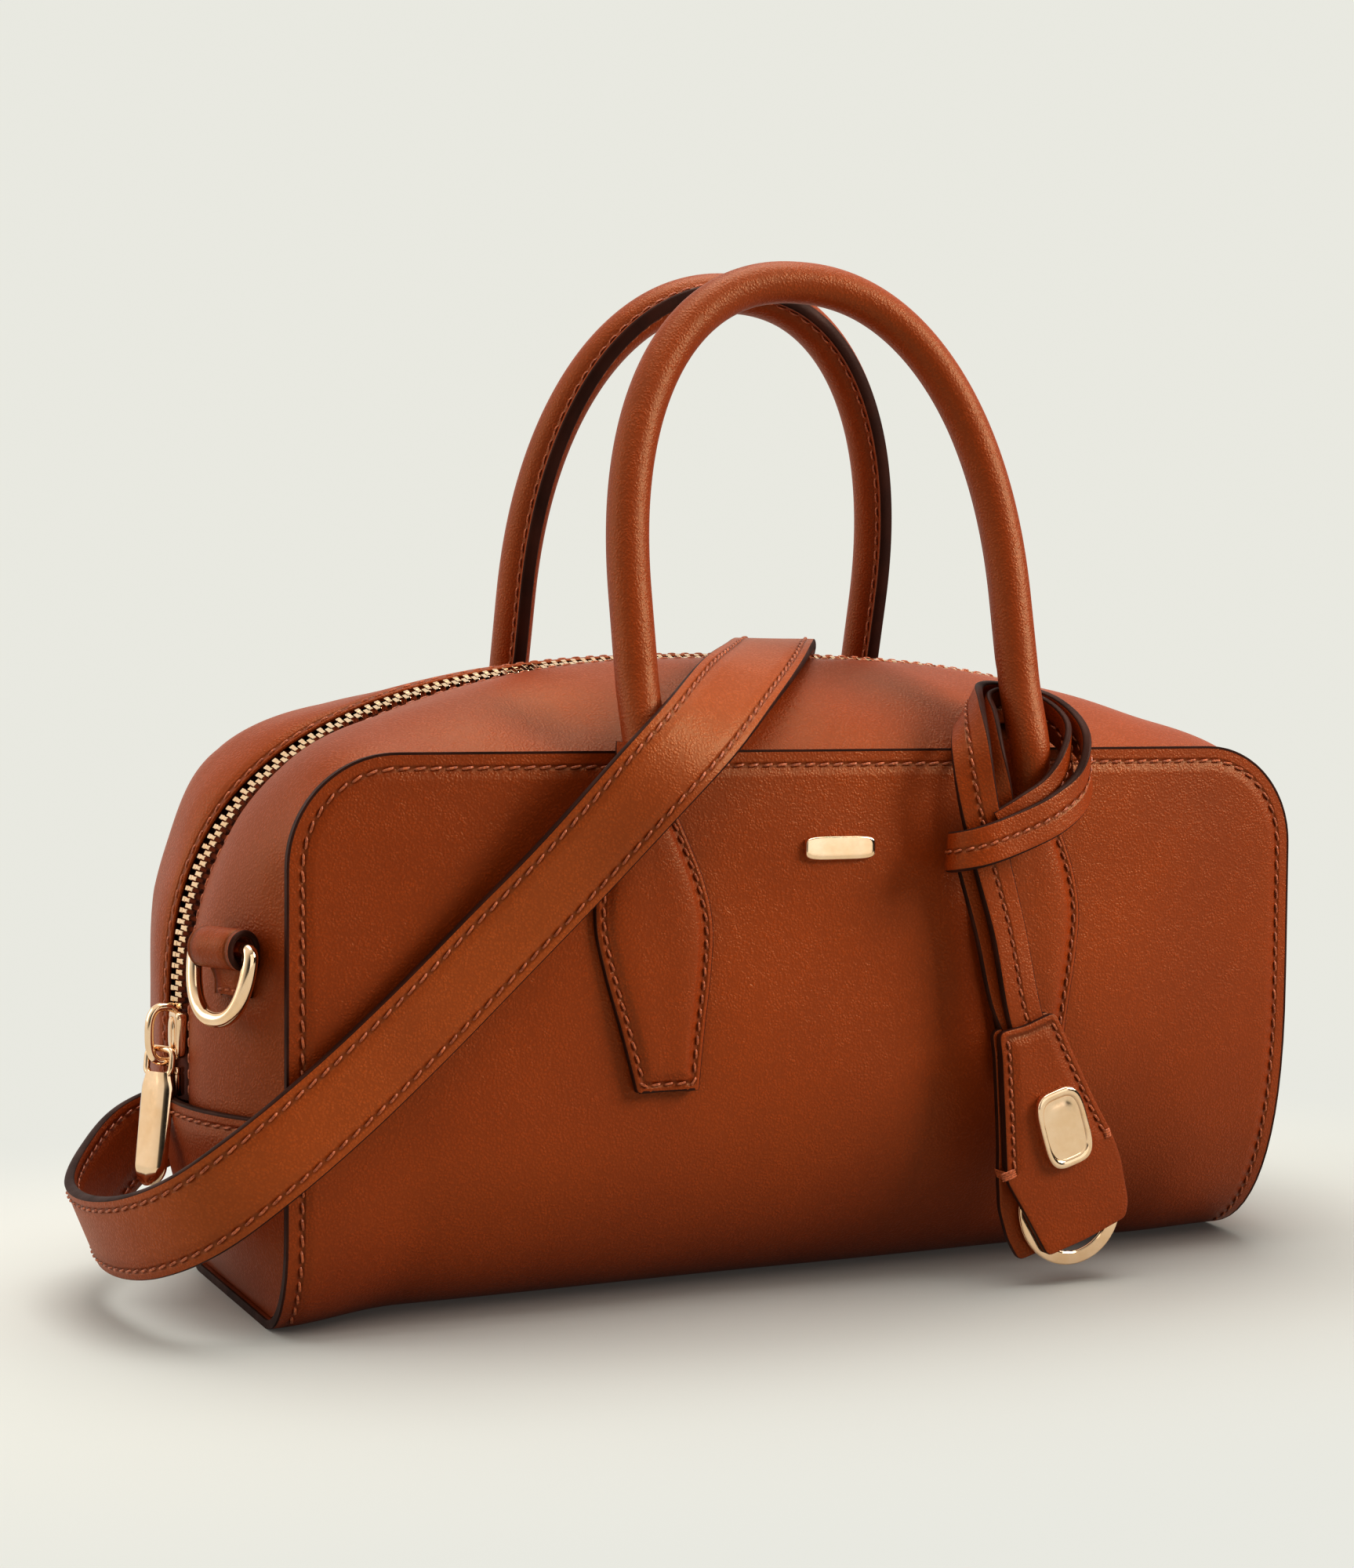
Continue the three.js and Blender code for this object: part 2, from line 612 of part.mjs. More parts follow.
function buildZip() {
  const places = bandStations();
  const under = bandLeather + 2 * gap;
  const tape = zipStrip(-tapeWidth / 2, tapeWidth / 2, under, under + tapeThick, places);
  addPiece('zip_tape', tape, brownTape);
  const chainStart = -(2 + (zipHip - chainLeftEnd) / (zipHip - bandFoot));
  const chainPlaces = [chainStart, ...places.filter((s) => s > chainStart)];
  const chainOuter = under - gap - chainThick;
  const chain = zipStrip(-chainWidth / 2, chainWidth / 2, chainOuter, under - gap, chainPlaces);
  addPiece('zip_chain', chain, paleGold);

  const body = new THREE.BoxGeometry(sliderSize.thick, sliderSize.width, sliderSize.length, 1, 1, 1);
  body.translate(-(sliderSeat + sliderSize.thick / 2), 0, sliderHeight);
  const loop = steps(16).slice(0, 16).map((t) => {
    const angle = t * Math.PI * 2;
    return point(-(bail.x + bail.halfX * Math.cos(angle)), 0, bail.z + bail.halfZ * Math.sin(angle));
  });
  const bailWire = wire(loop, bail.wire, 8, point(0, 1, 0), true);
  addPiece('zip_slider', fuse(body, bailWire), paleGold);

  const stopBody = new THREE.CylinderGeometry(stop.radius, stop.radius, stop.length, 12);
  stopBody.rotateX(Math.PI / 2);
  stopBody.translate(-(sliderSeat + stop.radius), 0, stop.z);
  addPiece('zip_end_stop', stopBody, paleGold);
}

// Zip pull: a flat tab with a round end, hung by its eye on the slider's loop and turned to the front
function buildPull() {
  const shape = new THREE.Shape();
  shape.moveTo(-pull.head, pull.bar / 2);
  shape.lineTo(-pull.head, -pull.neck);
  shape.lineTo(-pull.half, -pull.shoulder);
  shape.lineTo(-pull.half, -pull.length + pull.half);
  shape.absarc(0, -pull.length + pull.half, pull.half, Math.PI, 2 * Math.PI, false);
  shape.lineTo(pull.half, -pull.shoulder);
  shape.lineTo(pull.head, -pull.neck);
  shape.lineTo(pull.head, pull.bar / 2);
  shape.closePath();
  const eye = new THREE.Path();
  eye.moveTo(-pull.eyeHalf, -pull.bar / 2);
  eye.lineTo(pull.eyeHalf, -pull.bar / 2);
  eye.lineTo(pull.eyeHalf, -pull.eyeDepth);
  eye.lineTo(-pull.eyeHalf, -pull.eyeDepth);
  eye.closePath();
  shape.holes.push(eye);
  const flat = new THREE.ExtrudeGeometry(shape, { depth: pull.thick, bevelEnabled: false, curveSegments: 8 });
  flat.translate(0, 0, -pull.thick / 2);
  const turn = THREE.MathUtils.degToRad(pull.turn);
  const across = point(Math.sin(turn), -Math.cos(turn), 0);
  const tilt = THREE.MathUtils.degToRad(pull.tilt);
  const away = point(-Math.cos(turn), -Math.sin(turn), 0);
  const up = point(0, 0, Math.cos(tilt)).addScaledVector(away, -Math.sin(tilt));
  const face = new THREE.Vector3().crossVectors(across, up);
  flat.applyMatrix4(frameAt(point(-pull.eyeX, 0, pull.eyeZ), across, up, face));
  addPiece('zip_pull', flat, paleGold);
}

// Handles

// Radius of the roll, which flattens where it runs into its tab
function rollRadius(z) {
  const t = Math.min(1, Math.max(0, (handleFoot - z) / rollFlat.over));
  return handleRadius * (1 - rollFlat.share * t * t * (3 - 2 * t));
}

function handlePath(handle) {
  const arch = steps(18).map((t) => {
    const angle = Math.PI * t;
    const side = Math.sign(Math.cos(angle));
    const x = handleHalf * side * Math.abs(Math.cos(angle)) ** (2 / handlePower);
    return { x, z: handleSpring + (handle.apex - handleSpring) * Math.sin(angle) ** (2 / handlePower) };
  });
  const right = legLevels.map((z) => ({ x: handleHalf, z }));
  const left = [...legLevels].reverse().map((z) => ({ x: -handleHalf, z }));
  return [...right, ...arch, ...left].map(({ x, z }) => {
    const lift = Math.max(0, (z - handleFoot) / (handle.apex - handleFoot));
    const settle = THREE.MathUtils.smoothstep(z, handleFoot, handleFoot + tuckOver);
    const middle = x + handle.centre - tabShift(handle, Math.sign(x), z) * Math.sign(x);
    const stand = bagDepth / 2 + puffAt(middle, Math.min(z, handleFoot)) + 2 * gap + rollRadius(z);
    const inward = handle.lean * lift + handle.tuck * settle;
    return point(middle, handle.side * (stand - inward), z);
  });
}

// Drift of a tab towards the middle of the bag, growing towards its foot
function tabShift(handle, leg, z) {
  const drift = leg < 0 ? handle.drift.left : handle.drift.right;
  return drift * Math.max(0, handleFoot - z) / (handleFoot - tabRows[tabRows.length - 1].z);
}

// Rolled handle: round section with a stitched fin on the side that faces the other handle
function handleTube(handle) {
  const path = handlePath(handle);
  const forward = directionsAlong(path, false);
  const rings = path.map((p, i) => {
    const inward = point(0, -handle.side, 0);
    inward.addScaledVector(forward[i], handle.side * forward[i].y).normalize();
    const across = new THREE.Vector3().crossVectors(forward[i], inward);
    const rise = Math.min(1, Math.max(0, (p.z - finStart.z) / finStart.over));
    const radius = rollRadius(p.z);
    const spread = Math.asin(finWidth / 2 / handleRadius);
    const ring = steps(10).map((t) => {
      const angle = spread + t * 2 * (Math.PI - spread);
      return { a: Math.cos(angle) * radius, b: Math.sin(angle) * radius };
    });
    const tip = radius * Math.cos(spread) + finHeight * rise + finSkin;
    const finHalf = radius * Math.sin(spread);
    ring.push({ a: tip, b: -finHalf }, { a: tip, b: finHalf });
    return ring.map(({ a, b }) => p.clone().addScaledVector(inward, a).addScaledVector(across, b));
  });
  return loft(rings, false);
}

// Sewn tab below a handle leg: flat rim, padded middle
function handleTab(handle, leg) {
  const columns = [-1, -0.72, -0.45, 0, 0.45, 0.72, 1];
  const grids = [[], []];
  for (const row of tabRows) {
    const middle = leg * handleHalf + handle.centre - leg * tabShift(handle, leg, row.z);
    const place = columns.map((v) => {
      const x = middle + v * row.half;
      const floorY = bagDepth / 2 + puffAt(x, row.z) + gap;
      const crown = Math.abs(v) > tabRimStart ? 0 : Math.cos(v * Math.PI / 2);
      return { x, low: floorY, high: floorY + mix(row.rim, row.crown, crown) };
    });
    grids[0].push(place.map((p) => point(p.x, handle.side * p.high, row.z)));
    grids[1].push(place.map((p) => point(p.x, handle.side * p.low, row.z)));
  }
  return slab(grids[0], grids[1]);
}

function buildHandles() {
  for (const handle of handles) {
    const solid = fuse(handleTube(handle), handleTab(handle, -1), handleTab(handle, 1));
    addPiece(handle.name, solid, tanLeather);
  }
}

// Ring tabs and rings. The left tab sits on the front half of its end, the right one on the back half.

function ringFrame(end) {
  const shape = end < 0 ? bandShape.front : bandShape.back;
  const s = end * (2 + (zipHip - ringTabSpot.z) / (zipHip - bandFoot));
  const across = steps(8).map((t) => bandPoint(shape, s, mix(ringTabSpot.from, ringTabSpot.to, t)));
  const along = across[8].clone().sub(across[0]).setZ(0).normalize();
  if (along.y < 0) along.negate();
  const out = new THREE.Vector3().crossVectors(along, point(0, 0, end));
  const middle = across[0].clone().lerp(across[8], 0.5).setZ(ringTabSpot.z);
  const crest = Math.max(...across.map((p) => p.clone().sub(middle).dot(out)));
  return { out, along, seat: middle.addScaledVector(out, crest + gap) };
}

function ringCentre(end) {
  const { out, seat } = ringFrame(end);
  return seat.clone().addScaledVector(out, ringWire + gap + ringPlay + ringTabLeather);
}

// Point of the ring at an angle from the end of its bar, and the direction of its wire there
function ringPoint(end, tilt, angle) {
  const { out, along } = ringFrame(end);
  const lean = THREE.MathUtils.degToRad(tilt);
  const hang = point(0, 0, -Math.cos(lean)).addScaledVector(out, Math.sin(lean));
  const side = along.clone().multiplyScalar(end);
  const place = ringCentre(end).addScaledVector(side, ringHalf * Math.cos(angle));
  place.addScaledVector(hang, ringDrop * Math.sin(angle));
  const tangent = side.clone().multiplyScalar(-ringHalf * Math.sin(angle));
  tangent.addScaledVector(hang, ringDrop * Math.cos(angle)).normalize();
  const normal = new THREE.Vector3().crossVectors(along, hang).normalize();
  return { place, tangent, normal };
}

function buildRings() {
  for (const [name, end] of ends) {
    const { out, seat } = ringFrame(end);
    const inner = ringWire + gap + ringPlay;
    const outer = inner + ringTabLeather;
    const meet = Math.acos((2 * ringTabLeather - outer) / outer);
    const profile = new THREE.Shape();
    profile.moveTo(0, -ringTabTail);
    profile.lineTo(2 * ringTabLeather, -ringTabTail);
    profile.absarc(outer, 0, outer, -meet, Math.PI, false);
    profile.closePath();
    const hole = new THREE.Path();
    hole.absarc(outer, 0, inner, 0, 2 * Math.PI, true);
    profile.holes.push(hole);
    const loopForm = { depth: ringTabWidth, bevelEnabled: false, curveSegments: 10 };
    const loop = new THREE.ExtrudeGeometry(profile, loopForm);
    loop.translate(0, 0, -ringTabWidth / 2);
    const axis = new THREE.Vector3().crossVectors(out, point(0, 0, 1));
    loop.applyMatrix4(frameAt(seat, out, point(0, 0, 1), axis));
    addPiece(`ring_tab_${name}`, loop, tanLeather);

    const tilt = ringTilt[name];
    const arc = steps(14).map((t) => ringPoint(end, tilt, t * Math.PI).place);
    const bar = [0.25, 0.5, 0.75].map((t) => arc[14].clone().lerp(arc[0], t));
    const { normal } = ringPoint(end, tilt, 0);
    addPiece(`d_ring_${name}`, wire([...arc, ...bar], ringWire, 8, normal, true), paleGold);
  }
}

// Strap clasp: a closed hook round the right ring, a neck and a frame for the strap end
function claspPlace(clasp) {
  const { place, tangent } = ringPoint(1, ringTilt.right, THREE.MathUtils.degToRad(clasp.angle));
  const pullWay = point(clasp.pullX, clasp.pullY, clasp.pullZ).normalize();
  const axis = tangent.clone().addScaledVector(pullWay, -tangent.dot(pullWay)).normalize();
  const centre = place.clone().addScaledVector(pullWay, claspSlack);
  const rise = point(0, 0, 1).addScaledVector(pullWay, -pullWay.z).normalize();
  const outer = new THREE.Vector3().crossVectors(rise, pullWay).normalize();
  const frameStart = claspRing + claspNeck;
  const barFar = frameStart + claspBar * 1.5 + claspInner.length;
  const bar = centre.clone().addScaledVector(pullWay, barFar);
  return { pullWay, axis, centre, rise, outer, frameStart, bar };
}

function buildClasps() {
  for (const clasp of clasps) {
    const { pullWay, axis, centre, rise, outer, frameStart } = claspPlace(clasp);
    const side = new THREE.Vector3().crossVectors(axis, pullWay);
    const ring = steps(14).slice(0, 14).map((t) => {
      const angle = t * Math.PI * 2;
      const spot = centre.clone().addScaledVector(pullWay, claspRing * Math.cos(angle));
      return spot.addScaledVector(side, claspRing * Math.sin(angle));
    });
    const hook = wire(ring, claspWire, 8, axis, true);
    const neck = new THREE.CylinderGeometry(claspWire, claspWire, claspNeck + claspWire, 10);
    neck.applyMatrix4(frameAt(point(0, 0, 0), rise, pullWay, outer));
    const neckMiddle = claspRing + claspNeck / 2;
    neck.translate(...centre.clone().addScaledVector(pullWay, neckMiddle).toArray());
    const halfWidth = claspInner.width / 2 + claspBar;
    const far = claspInner.length + 2 * claspBar;
    const outline = new THREE.Shape();
    outline.moveTo(-halfWidth, 0);
    outline.lineTo(halfWidth, 0);
    outline.lineTo(halfWidth, far);
    outline.lineTo(-halfWidth, far);
    outline.closePath();
    const window = new THREE.Path();
    window.moveTo(-claspInner.width / 2, claspBar);
    window.lineTo(-claspInner.width / 2, far - claspBar);
    window.lineTo(claspInner.width / 2, far - claspBar);
    window.lineTo(claspInner.width / 2, claspBar);
    window.closePath();
    outline.holes.push(window);
    const frame = new THREE.ExtrudeGeometry(outline, { depth: claspBar, bevelEnabled: false });
    frame.translate(0, 0, -claspBar / 2);
    const start = centre.clone().addScaledVector(pullWay, frameStart);
    frame.applyMatrix4(frameAt(start, rise, pullWay, outer));
    addPiece(clasp.name, fuse(hook, neck, frame), paleGold);
  }
}

// Strap end folded round the bar of its clasp, as rows of the route from the free end to the strap proper
function strapFold(clasp) {
  const { pullWay, outer, bar } = claspPlace(clasp);
  const { clear, near, nearLift, far, farLift } = strapFoldRows;
  const around = claspBar / 2 + clear + strapThick / 2;
  const row = (along, up, turn) => {
    const spot = bar.clone().addScaledVector(pullWay, along).addScaledVector(outer, up);
    const face = outer.clone().multiplyScalar(Math.cos(turn)).addScaledVector(pullWay, -Math.sin(turn));
    return { x: spot.x, y: spot.y, z: spot.z, nx: face.x, ny: face.y, nz: face.z };
  };
  const turns = [1, 0.75, 0.5, 0.25, 0].map((t) => t * Math.PI);
  return [
    row(far, -farLift, Math.PI),
    row(near, -nearLift, Math.PI),
    ...turns.map((turn) => row(-around * Math.sin(turn), around * Math.cos(turn), turn)),
    row(near, nearLift, 0),
    row(far, farLift, 0),
  ];
}

function buildStrap() {
  const head = strapFold(clasps[0]);
  const tail = strapFold(clasps[1]).reverse();
  const route = [...head, ...strapRoute, ...tail];
  addPiece('shoulder_strap', strip(route, strapWidth, strapThick, 2), tanLeather);
}

// Hang tag, in its own plane: across to the right, up against its lean, and out to the front

function tagFrame() {
  const lean = THREE.MathUtils.degToRad(tag.lean);
  const across = point(Math.cos(lean), 0, Math.sin(lean));
  const up = point(-Math.sin(lean), 0, Math.cos(lean));
  return frameAt(point(tag.x, tag.y, tag.z), across, up, point(0, -1, 0));
}

function polygon(points, depth) {
  const shape = new THREE.Shape(points.map((p) => new THREE.Vector2(p.across, -p.down)));
  const solid = new THREE.ExtrudeGeometry(shape, { depth, bevelEnabled: false });
  solid.translate(0, 0, -depth / 2);
  return solid;
}

// Four-cornered outline about the middle line of the tag
function block(halfWidth, top, bottom) {
  return [
    { across: -halfWidth, down: top },
    { across: -halfWidth, down: bottom },
    { across: halfWidth, down: bottom },
    { across: halfWidth, down: top },
  ];
}

function plaque(width, height, thick, round) {
  const shape = new THREE.Shape();
  const x = width / 2 - round;
  const y = height / 2 - round;
  shape.absarc(x, y, round, 0, Math.PI / 2, false);
  shape.absarc(-x, y, round, Math.PI / 2, Math.PI, false);
  shape.absarc(-x, -y, round, Math.PI, 1.5 * Math.PI, false);
  shape.absarc(x, -y, round, 1.5 * Math.PI, 2 * Math.PI, false);
  shape.closePath();
  return new THREE.ExtrudeGeometry(shape, { depth: thick, bevelEnabled: false, curveSegments: 4 });
}

function buildTag() {
  const place = tagFrame();
  const pocketThick = tag.thick - 2 * tag.layer;
  const throatThick = tagStrapThick + 4 * gap;
  const throatHalf = tagStrapWidth / 2 + 3 * gap;
  const tagBody = cut(
    polygon(tagOutline, tag.thick),
    polygon(block(throatHalf, -tag.layer, tagMouth.top), throatThick),
    polygon(block(tagMouth.half, tagMouth.top, tagMouth.bottom), pocketThick),
  );
  tagBody.applyMatrix4(place);
  addPiece('hang_tag', tagBody, tanLeather);
  addPiece('tag_strap', strip(tagRoute, tagStrapWidth, tagStrapThick, 3), tanLeather);

  const ring = new THREE.TorusGeometry(keyRing.radius, keyRing.wire, 6, 24);
  ring.translate(keyRing.across, -keyRing.down, 0);
  ring.applyMatrix4(place);
  addPiece('key_ring', ring, paleGold);

  const badge = plaque(ornament.width, ornament.height, ornament.thick, ornament.round);
  badge.translate(ornament.across, -ornament.down, tag.thick / 2 + gap);
  badge.applyMatrix4(place);
  addPiece('tag_ornament', badge, paleGold);
}

function buildFrontBar() {
  const bar = plaque(frontBar.width, frontBar.height, frontBar.thick, frontBar.round);
  const y = -(bagDepth / 2 + puffAt(frontBar.x, frontBar.z) + gap);
  const seat = point(frontBar.x, y, frontBar.z);
  bar.applyMatrix4(frameAt(seat, point(1, 0, 0), point(0, 0, 1), point(0, -1, 0)));
  addPiece('front_bar', bar, paleGold);
}

buildBody();
buildZip();
buildPull();
buildHandles();
buildRings();
buildClasps();
buildStrap();
buildTag();
buildFrontBar();

export default bag;
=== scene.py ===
import bpy
import numpy as np
from mathutils import Matrix


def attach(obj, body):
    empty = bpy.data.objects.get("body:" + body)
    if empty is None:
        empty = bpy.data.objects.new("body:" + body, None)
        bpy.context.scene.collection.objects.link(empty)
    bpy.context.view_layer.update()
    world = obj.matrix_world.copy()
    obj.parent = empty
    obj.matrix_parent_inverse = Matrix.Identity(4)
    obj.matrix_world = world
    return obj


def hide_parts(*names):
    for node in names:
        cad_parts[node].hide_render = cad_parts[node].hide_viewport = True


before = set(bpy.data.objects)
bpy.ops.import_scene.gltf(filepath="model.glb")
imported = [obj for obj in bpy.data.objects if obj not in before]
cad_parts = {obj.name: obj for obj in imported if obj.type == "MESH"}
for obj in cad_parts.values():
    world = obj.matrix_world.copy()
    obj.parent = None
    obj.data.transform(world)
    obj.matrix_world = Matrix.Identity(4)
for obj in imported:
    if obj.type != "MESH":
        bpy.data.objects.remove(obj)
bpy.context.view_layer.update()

mm = 0.001  # everything below is worked out in millimetres
none = 99.0  # seam distance of a place that has no stitch line
up = np.array([0.0, 0.0, 1.0])


# small sums on whole arrays

def unit(v):
    return v / np.maximum(np.linalg.norm(v, axis=-1, keepdims=True), 1e-9)


def mix(a, b, t):
    return a + (b - a) * t


def signedPower(v, power):  # power of the size, with the sign kept
    return np.sign(v) * np.abs(v) ** power


def fullTurn(count):  # equal angles round a circle
    return np.arange(count) / count * 2 * np.pi


def ease(at, start, over):  # smooth step that begins at start and takes the length over
    t = np.clip((at - start) / over, 0, 1)
    return t * t * (3 - 2 * t)


def readTable(at, xs, ys):  # value between the rows of a short table, with a smooth step from row to row
    k = np.clip(np.searchsorted(xs, at) - 1, 0, len(xs) - 2)
    return mix(ys[k], ys[k + 1], ease(at, xs[k], xs[k + 1] - xs[k]))


def through(rows, at, knots=None):  # cubic curve through the rows; at counts rows, knots are their spacing
    rows = np.asarray(rows, float)
    gaps = np.ones(len(rows) - 1) if knots is None else np.diff(knots)
    slope = np.gradient(rows, np.concatenate([[0], np.cumsum(gaps)]), axis=0)
    k = np.clip(at.astype(int), 0, len(rows) - 2)
    w = (at - k)[:, None]
    h = gaps[k][:, None]
    start = (2 * w**3 - 3 * w**2 + 1) * rows[k] + (w**3 - 2 * w**2 + w) * h * slope[k]
    return start + (3 * w**2 - 2 * w**3) * rows[k + 1] + (w**3 - w**2) * h * slope[k + 1]


def chordKnots(rows):  # spacing by the square root of the chords, so that the curve doesn't loop
    chords = np.linalg.norm(np.diff(rows, axis=0), axis=1)
    return np.concatenate([[0], np.cumsum(np.sqrt(chords))])


def walk(path, gap, *others, closed=False, offset=0.5):  # equal steps along a line, with riding values
    if closed:
        path = np.vstack([path, path[:1]])
        others = [np.vstack([o, o[:1]]) for o in others]
    run = np.concatenate([[0], np.cumsum(np.linalg.norm(np.diff(path, axis=0), axis=1))])
    count = max(2, int(round(run[-1] / gap)))
    at = (np.arange(count) + offset) / count * run[-1]
    return [np.stack([np.interp(at, run, a[:, i]) for i in range(a.shape[1])], 1) for a in (path, *others)]


def headings(path, closed=False):  # direction of a line at each of its points
    if closed:
        return unit(np.roll(path, -1, 0) - np.roll(path, 1, 0))
    return unit(np.gradient(path, axis=0))


def gridNormals(grid):  # row direction crossed with column direction
    return unit(np.cross(np.gradient(grid, axis=0), np.gradient(grid, axis=1)))


def softDrift(p, size):  # slow unevenness of soft leather: crossed sine waves of 60 to 250 mm
    x, y, z = np.moveaxis(p, -1, 0)
    slow = np.sin(x * 0.051 + z * 0.034 + 1.3) * np.sin(z * 0.062 - y * 0.03 + 0.4)
    return size * (slow + 0.6 * np.sin(x * 0.023 - z * 0.085 + 2.1) * np.sin(x * 0.09 + y * 0.05 + 0.7))


# meshes: a part is points, face arrays, a material mark for each face and a seam distance for each point

def gridFaces(rows, cols, around=False, closed=False):  # quads of a grid, joined round its columns or rows
    r = np.arange(rows if closed else rows - 1)[:, None]
    c = np.arange(cols if around else cols - 1)
    e, d = (r + 1) % rows, (c + 1) % cols
    return np.stack([r * cols + c, e * cols + c, e * cols + d, r * cols + d], -1).reshape(-1, 4)


def borderRing(rows, cols):  # numbers of the points on the border of a grid, in order round it
    index = np.arange(rows * cols).reshape(rows, cols)
    return np.concatenate([index[0, :-1], index[:-1, -1], index[-1, :0:-1], index[:0:-1, 0]])


def makePart(points, faces, marks, seam=None):
    points = np.asarray(points, float).reshape(-1, 3)
    seam = np.full(len(points), none) if seam is None else np.asarray(seam, float).ravel()
    marks = [np.broadcast_to(np.asarray(m, int).ravel(), len(f)) if np.size(m) == 1 else np.ravel(m)
             for f, m in zip(faces, marks)]
    return points, faces, marks, seam


def loft(rings, mark=0, capMark=0, closed=False, seam=None):  # skin through rings, with a fan at each end
    n, m = rings.shape[:2]
    points = rings.reshape(-1, 3)
    faces = [gridFaces(n, m, around=True, closed=closed)]
    marks = [mark]
    if seam is not None:
        seam = np.ravel(seam)
    if not closed:
        first = np.arange(m)
        nextOne = np.roll(first, -1)
        last = first + (n - 1) * m
        tail = nextOne + (n - 1) * m
        faces.append(np.stack([first, nextOne, np.full(m, n * m)], 1))
        faces.append(np.stack([tail, last, np.full(m, n * m + 1)], 1))
        marks += [capMark, capMark]
        points = np.vstack([points, rings[0].mean(0), rings[-1].mean(0)])
        seam = None if seam is None else np.concatenate([seam, [none, none]])
    return makePart(points, faces, marks, seam)


def shell(outer, inner, seam=None, edgeMark=1):  # two grids of points, closed round their border
    rows, cols = outer.shape[:2]
    n = rows * cols
    skin = gridFaces(rows, cols)
    ring = borderRing(rows, cols)
    ahead = np.roll(ring, -1)
    edge = np.stack([ring, ahead, ahead + n, ring + n], 1)
    points = np.vstack([outer.reshape(-1, 3), inner.reshape(-1, 3)])
    seam = np.full(n, none) if seam is None else np.ravel(seam)
    seam = np.concatenate([seam, np.full(n, none)])
    return makePart(points, [skin, skin[:, ::-1] + n, edge], [0, 0, edgeMark], seam)


def wall(outer, thick, facing=1, seam=None, edgeMark=1):  # leather of even thickness behind a grid of points
    return shell(outer, outer - gridNormals(outer) * facing * thick, seam, edgeMark)


def tube(path, radius, normal, closed=True, sides=16, flat=1.0):  # round or flattened wire along a line
    forward = headings(path, closed)
    side = unit(np.cross(normal, forward))
    rise = np.cross(forward, side)
    a = fullTurn(sides)[:, None]
    ring = np.cos(a) * side[:, None] + flat * np.sin(a) * rise[:, None]
    return loft(path[:, None] + radius * ring, closed=closed)


def turned(origin, axis, rows, sides=24):  # lathe work: rows are (height along the axis, radius)
    rows = np.asarray(rows, float)
    side = unit(np.cross(axis, [0.31, 0.9, 0.17]))  # any direction off the axis gives a start
    other = np.cross(axis, side)
    a = fullTurn(sides)[:, None]
    ring = np.cos(a) * side + np.sin(a) * other
    return loft(origin + rows[:, 0, None, None] * axis + rows[:, 1, None, None] * ring)


def soften(loop, rounds):  # rounds the corners of a closed line: each point moves towards its neighbours
    for _ in range(rounds):
        loop = (np.roll(loop, 1, 0) + loop * 2 + np.roll(loop, -1, 0)) / 4
    return loop


def carry(section, path, across, rise):  # a flat section carried along a line
    return path[:, None] + section[:, 0, None] * across[:, None] + section[:, 1, None] * rise[:, None]


def repeat(part, origins, axisX, axisY, axisZ):  # the same small part at many places
    points, faces, marks, seam = part
    n, k = len(origins), len(points)
    spread = origins[:, None] + points[:, 0, None] * axisX[:, None] + points[:, 1, None] * axisY[:, None]
    spread = spread + points[:, 2, None] * axisZ[:, None]
    shift = np.arange(n)[:, None, None] * k
    many = [(f[None] + shift).reshape(-1, f.shape[1]) for f in faces]
    return makePart(spread, many, [np.tile(m, n) for m in marks], np.tile(seam, n))


def signedVolume(points, faces):  # sum of the cones from the origin to each face
    total = 0.0
    for f in faces:
        for j in range(1, f.shape[1] - 1):
            side = np.cross(points[f[:, j]], points[f[:, j + 1]])
            total += np.einsum("ij,ij->i", points[f[:, 0]], side).sum()
    return total


goldPieces = bpy.data.collections.new("goldPieces")
bagPieces = bpy.data.collections.new("bagPieces")
stagePieces = bpy.data.collections.new("stagePieces")


# one piece from several parts: its body and the solids that it stands for, which it hides; a gold slot also
# puts it among the gold pieces
def putPiece(name, parts, finishes, body="bag", slot="leather", stands=(), sharp=48, runs=None):
    points, sizes, loops, marks, seams, base = [], [], [], [], [], 0
    for p, faces, mark, seam in parts:
        if signedVolume(p - p.mean(0), faces) < 0:
            faces = [f[:, ::-1] for f in faces]
        points.append(p)
        seams.append(seam)
        loops += [(f + base).ravel() for f in faces]
        sizes += [np.full(len(f), f.shape[1]) for f in faces]
        marks += mark
        base += len(p)
    points, sizes, loops = np.vstack(points), np.concatenate(sizes), np.concatenate(loops)
    mesh = bpy.data.meshes.new(name)
    mesh.vertices.add(len(points))
    mesh.vertices.foreach_set("co", (points * mm).ravel())
    mesh.loops.add(len(loops))
    mesh.loops.foreach_set("vertex_index", loops.astype(np.int32))
    mesh.polygons.add(len(sizes))
    mesh.polygons.foreach_set("loop_start", np.concatenate([[0], np.cumsum(sizes)[:-1]]).astype(np.int32))
    mesh.polygons.foreach_set("material_index", np.concatenate(marks).astype(np.int32))
    mesh.polygons.foreach_set("use_smooth", np.ones(len(sizes), bool))
    mesh.update(calc_edges=True)
    mesh.validate()
    mesh.set_sharp_from_angle(angle=np.radians(sharp))
    mesh.attributes.new("seam", "FLOAT", "POINT").data.foreach_set("value", np.concatenate(seams))
    for key, value in (runs or {}).items():
        mesh.attributes.new(key, "FLOAT", "POINT").data.foreach_set("value", np.ravel(value))
    for finish in finishes:
        mesh.materials.append(finish)
    piece = bpy.data.objects.new(name, mesh)
    bpy.context.scene.collection.objects.link(piece)
    bagPieces.objects.link(piece)
    if slot == "gold":
        goldPieces.objects.link(piece)
    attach(piece, body)
    if stands:
        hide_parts(*stands)
    return piece


# finishes

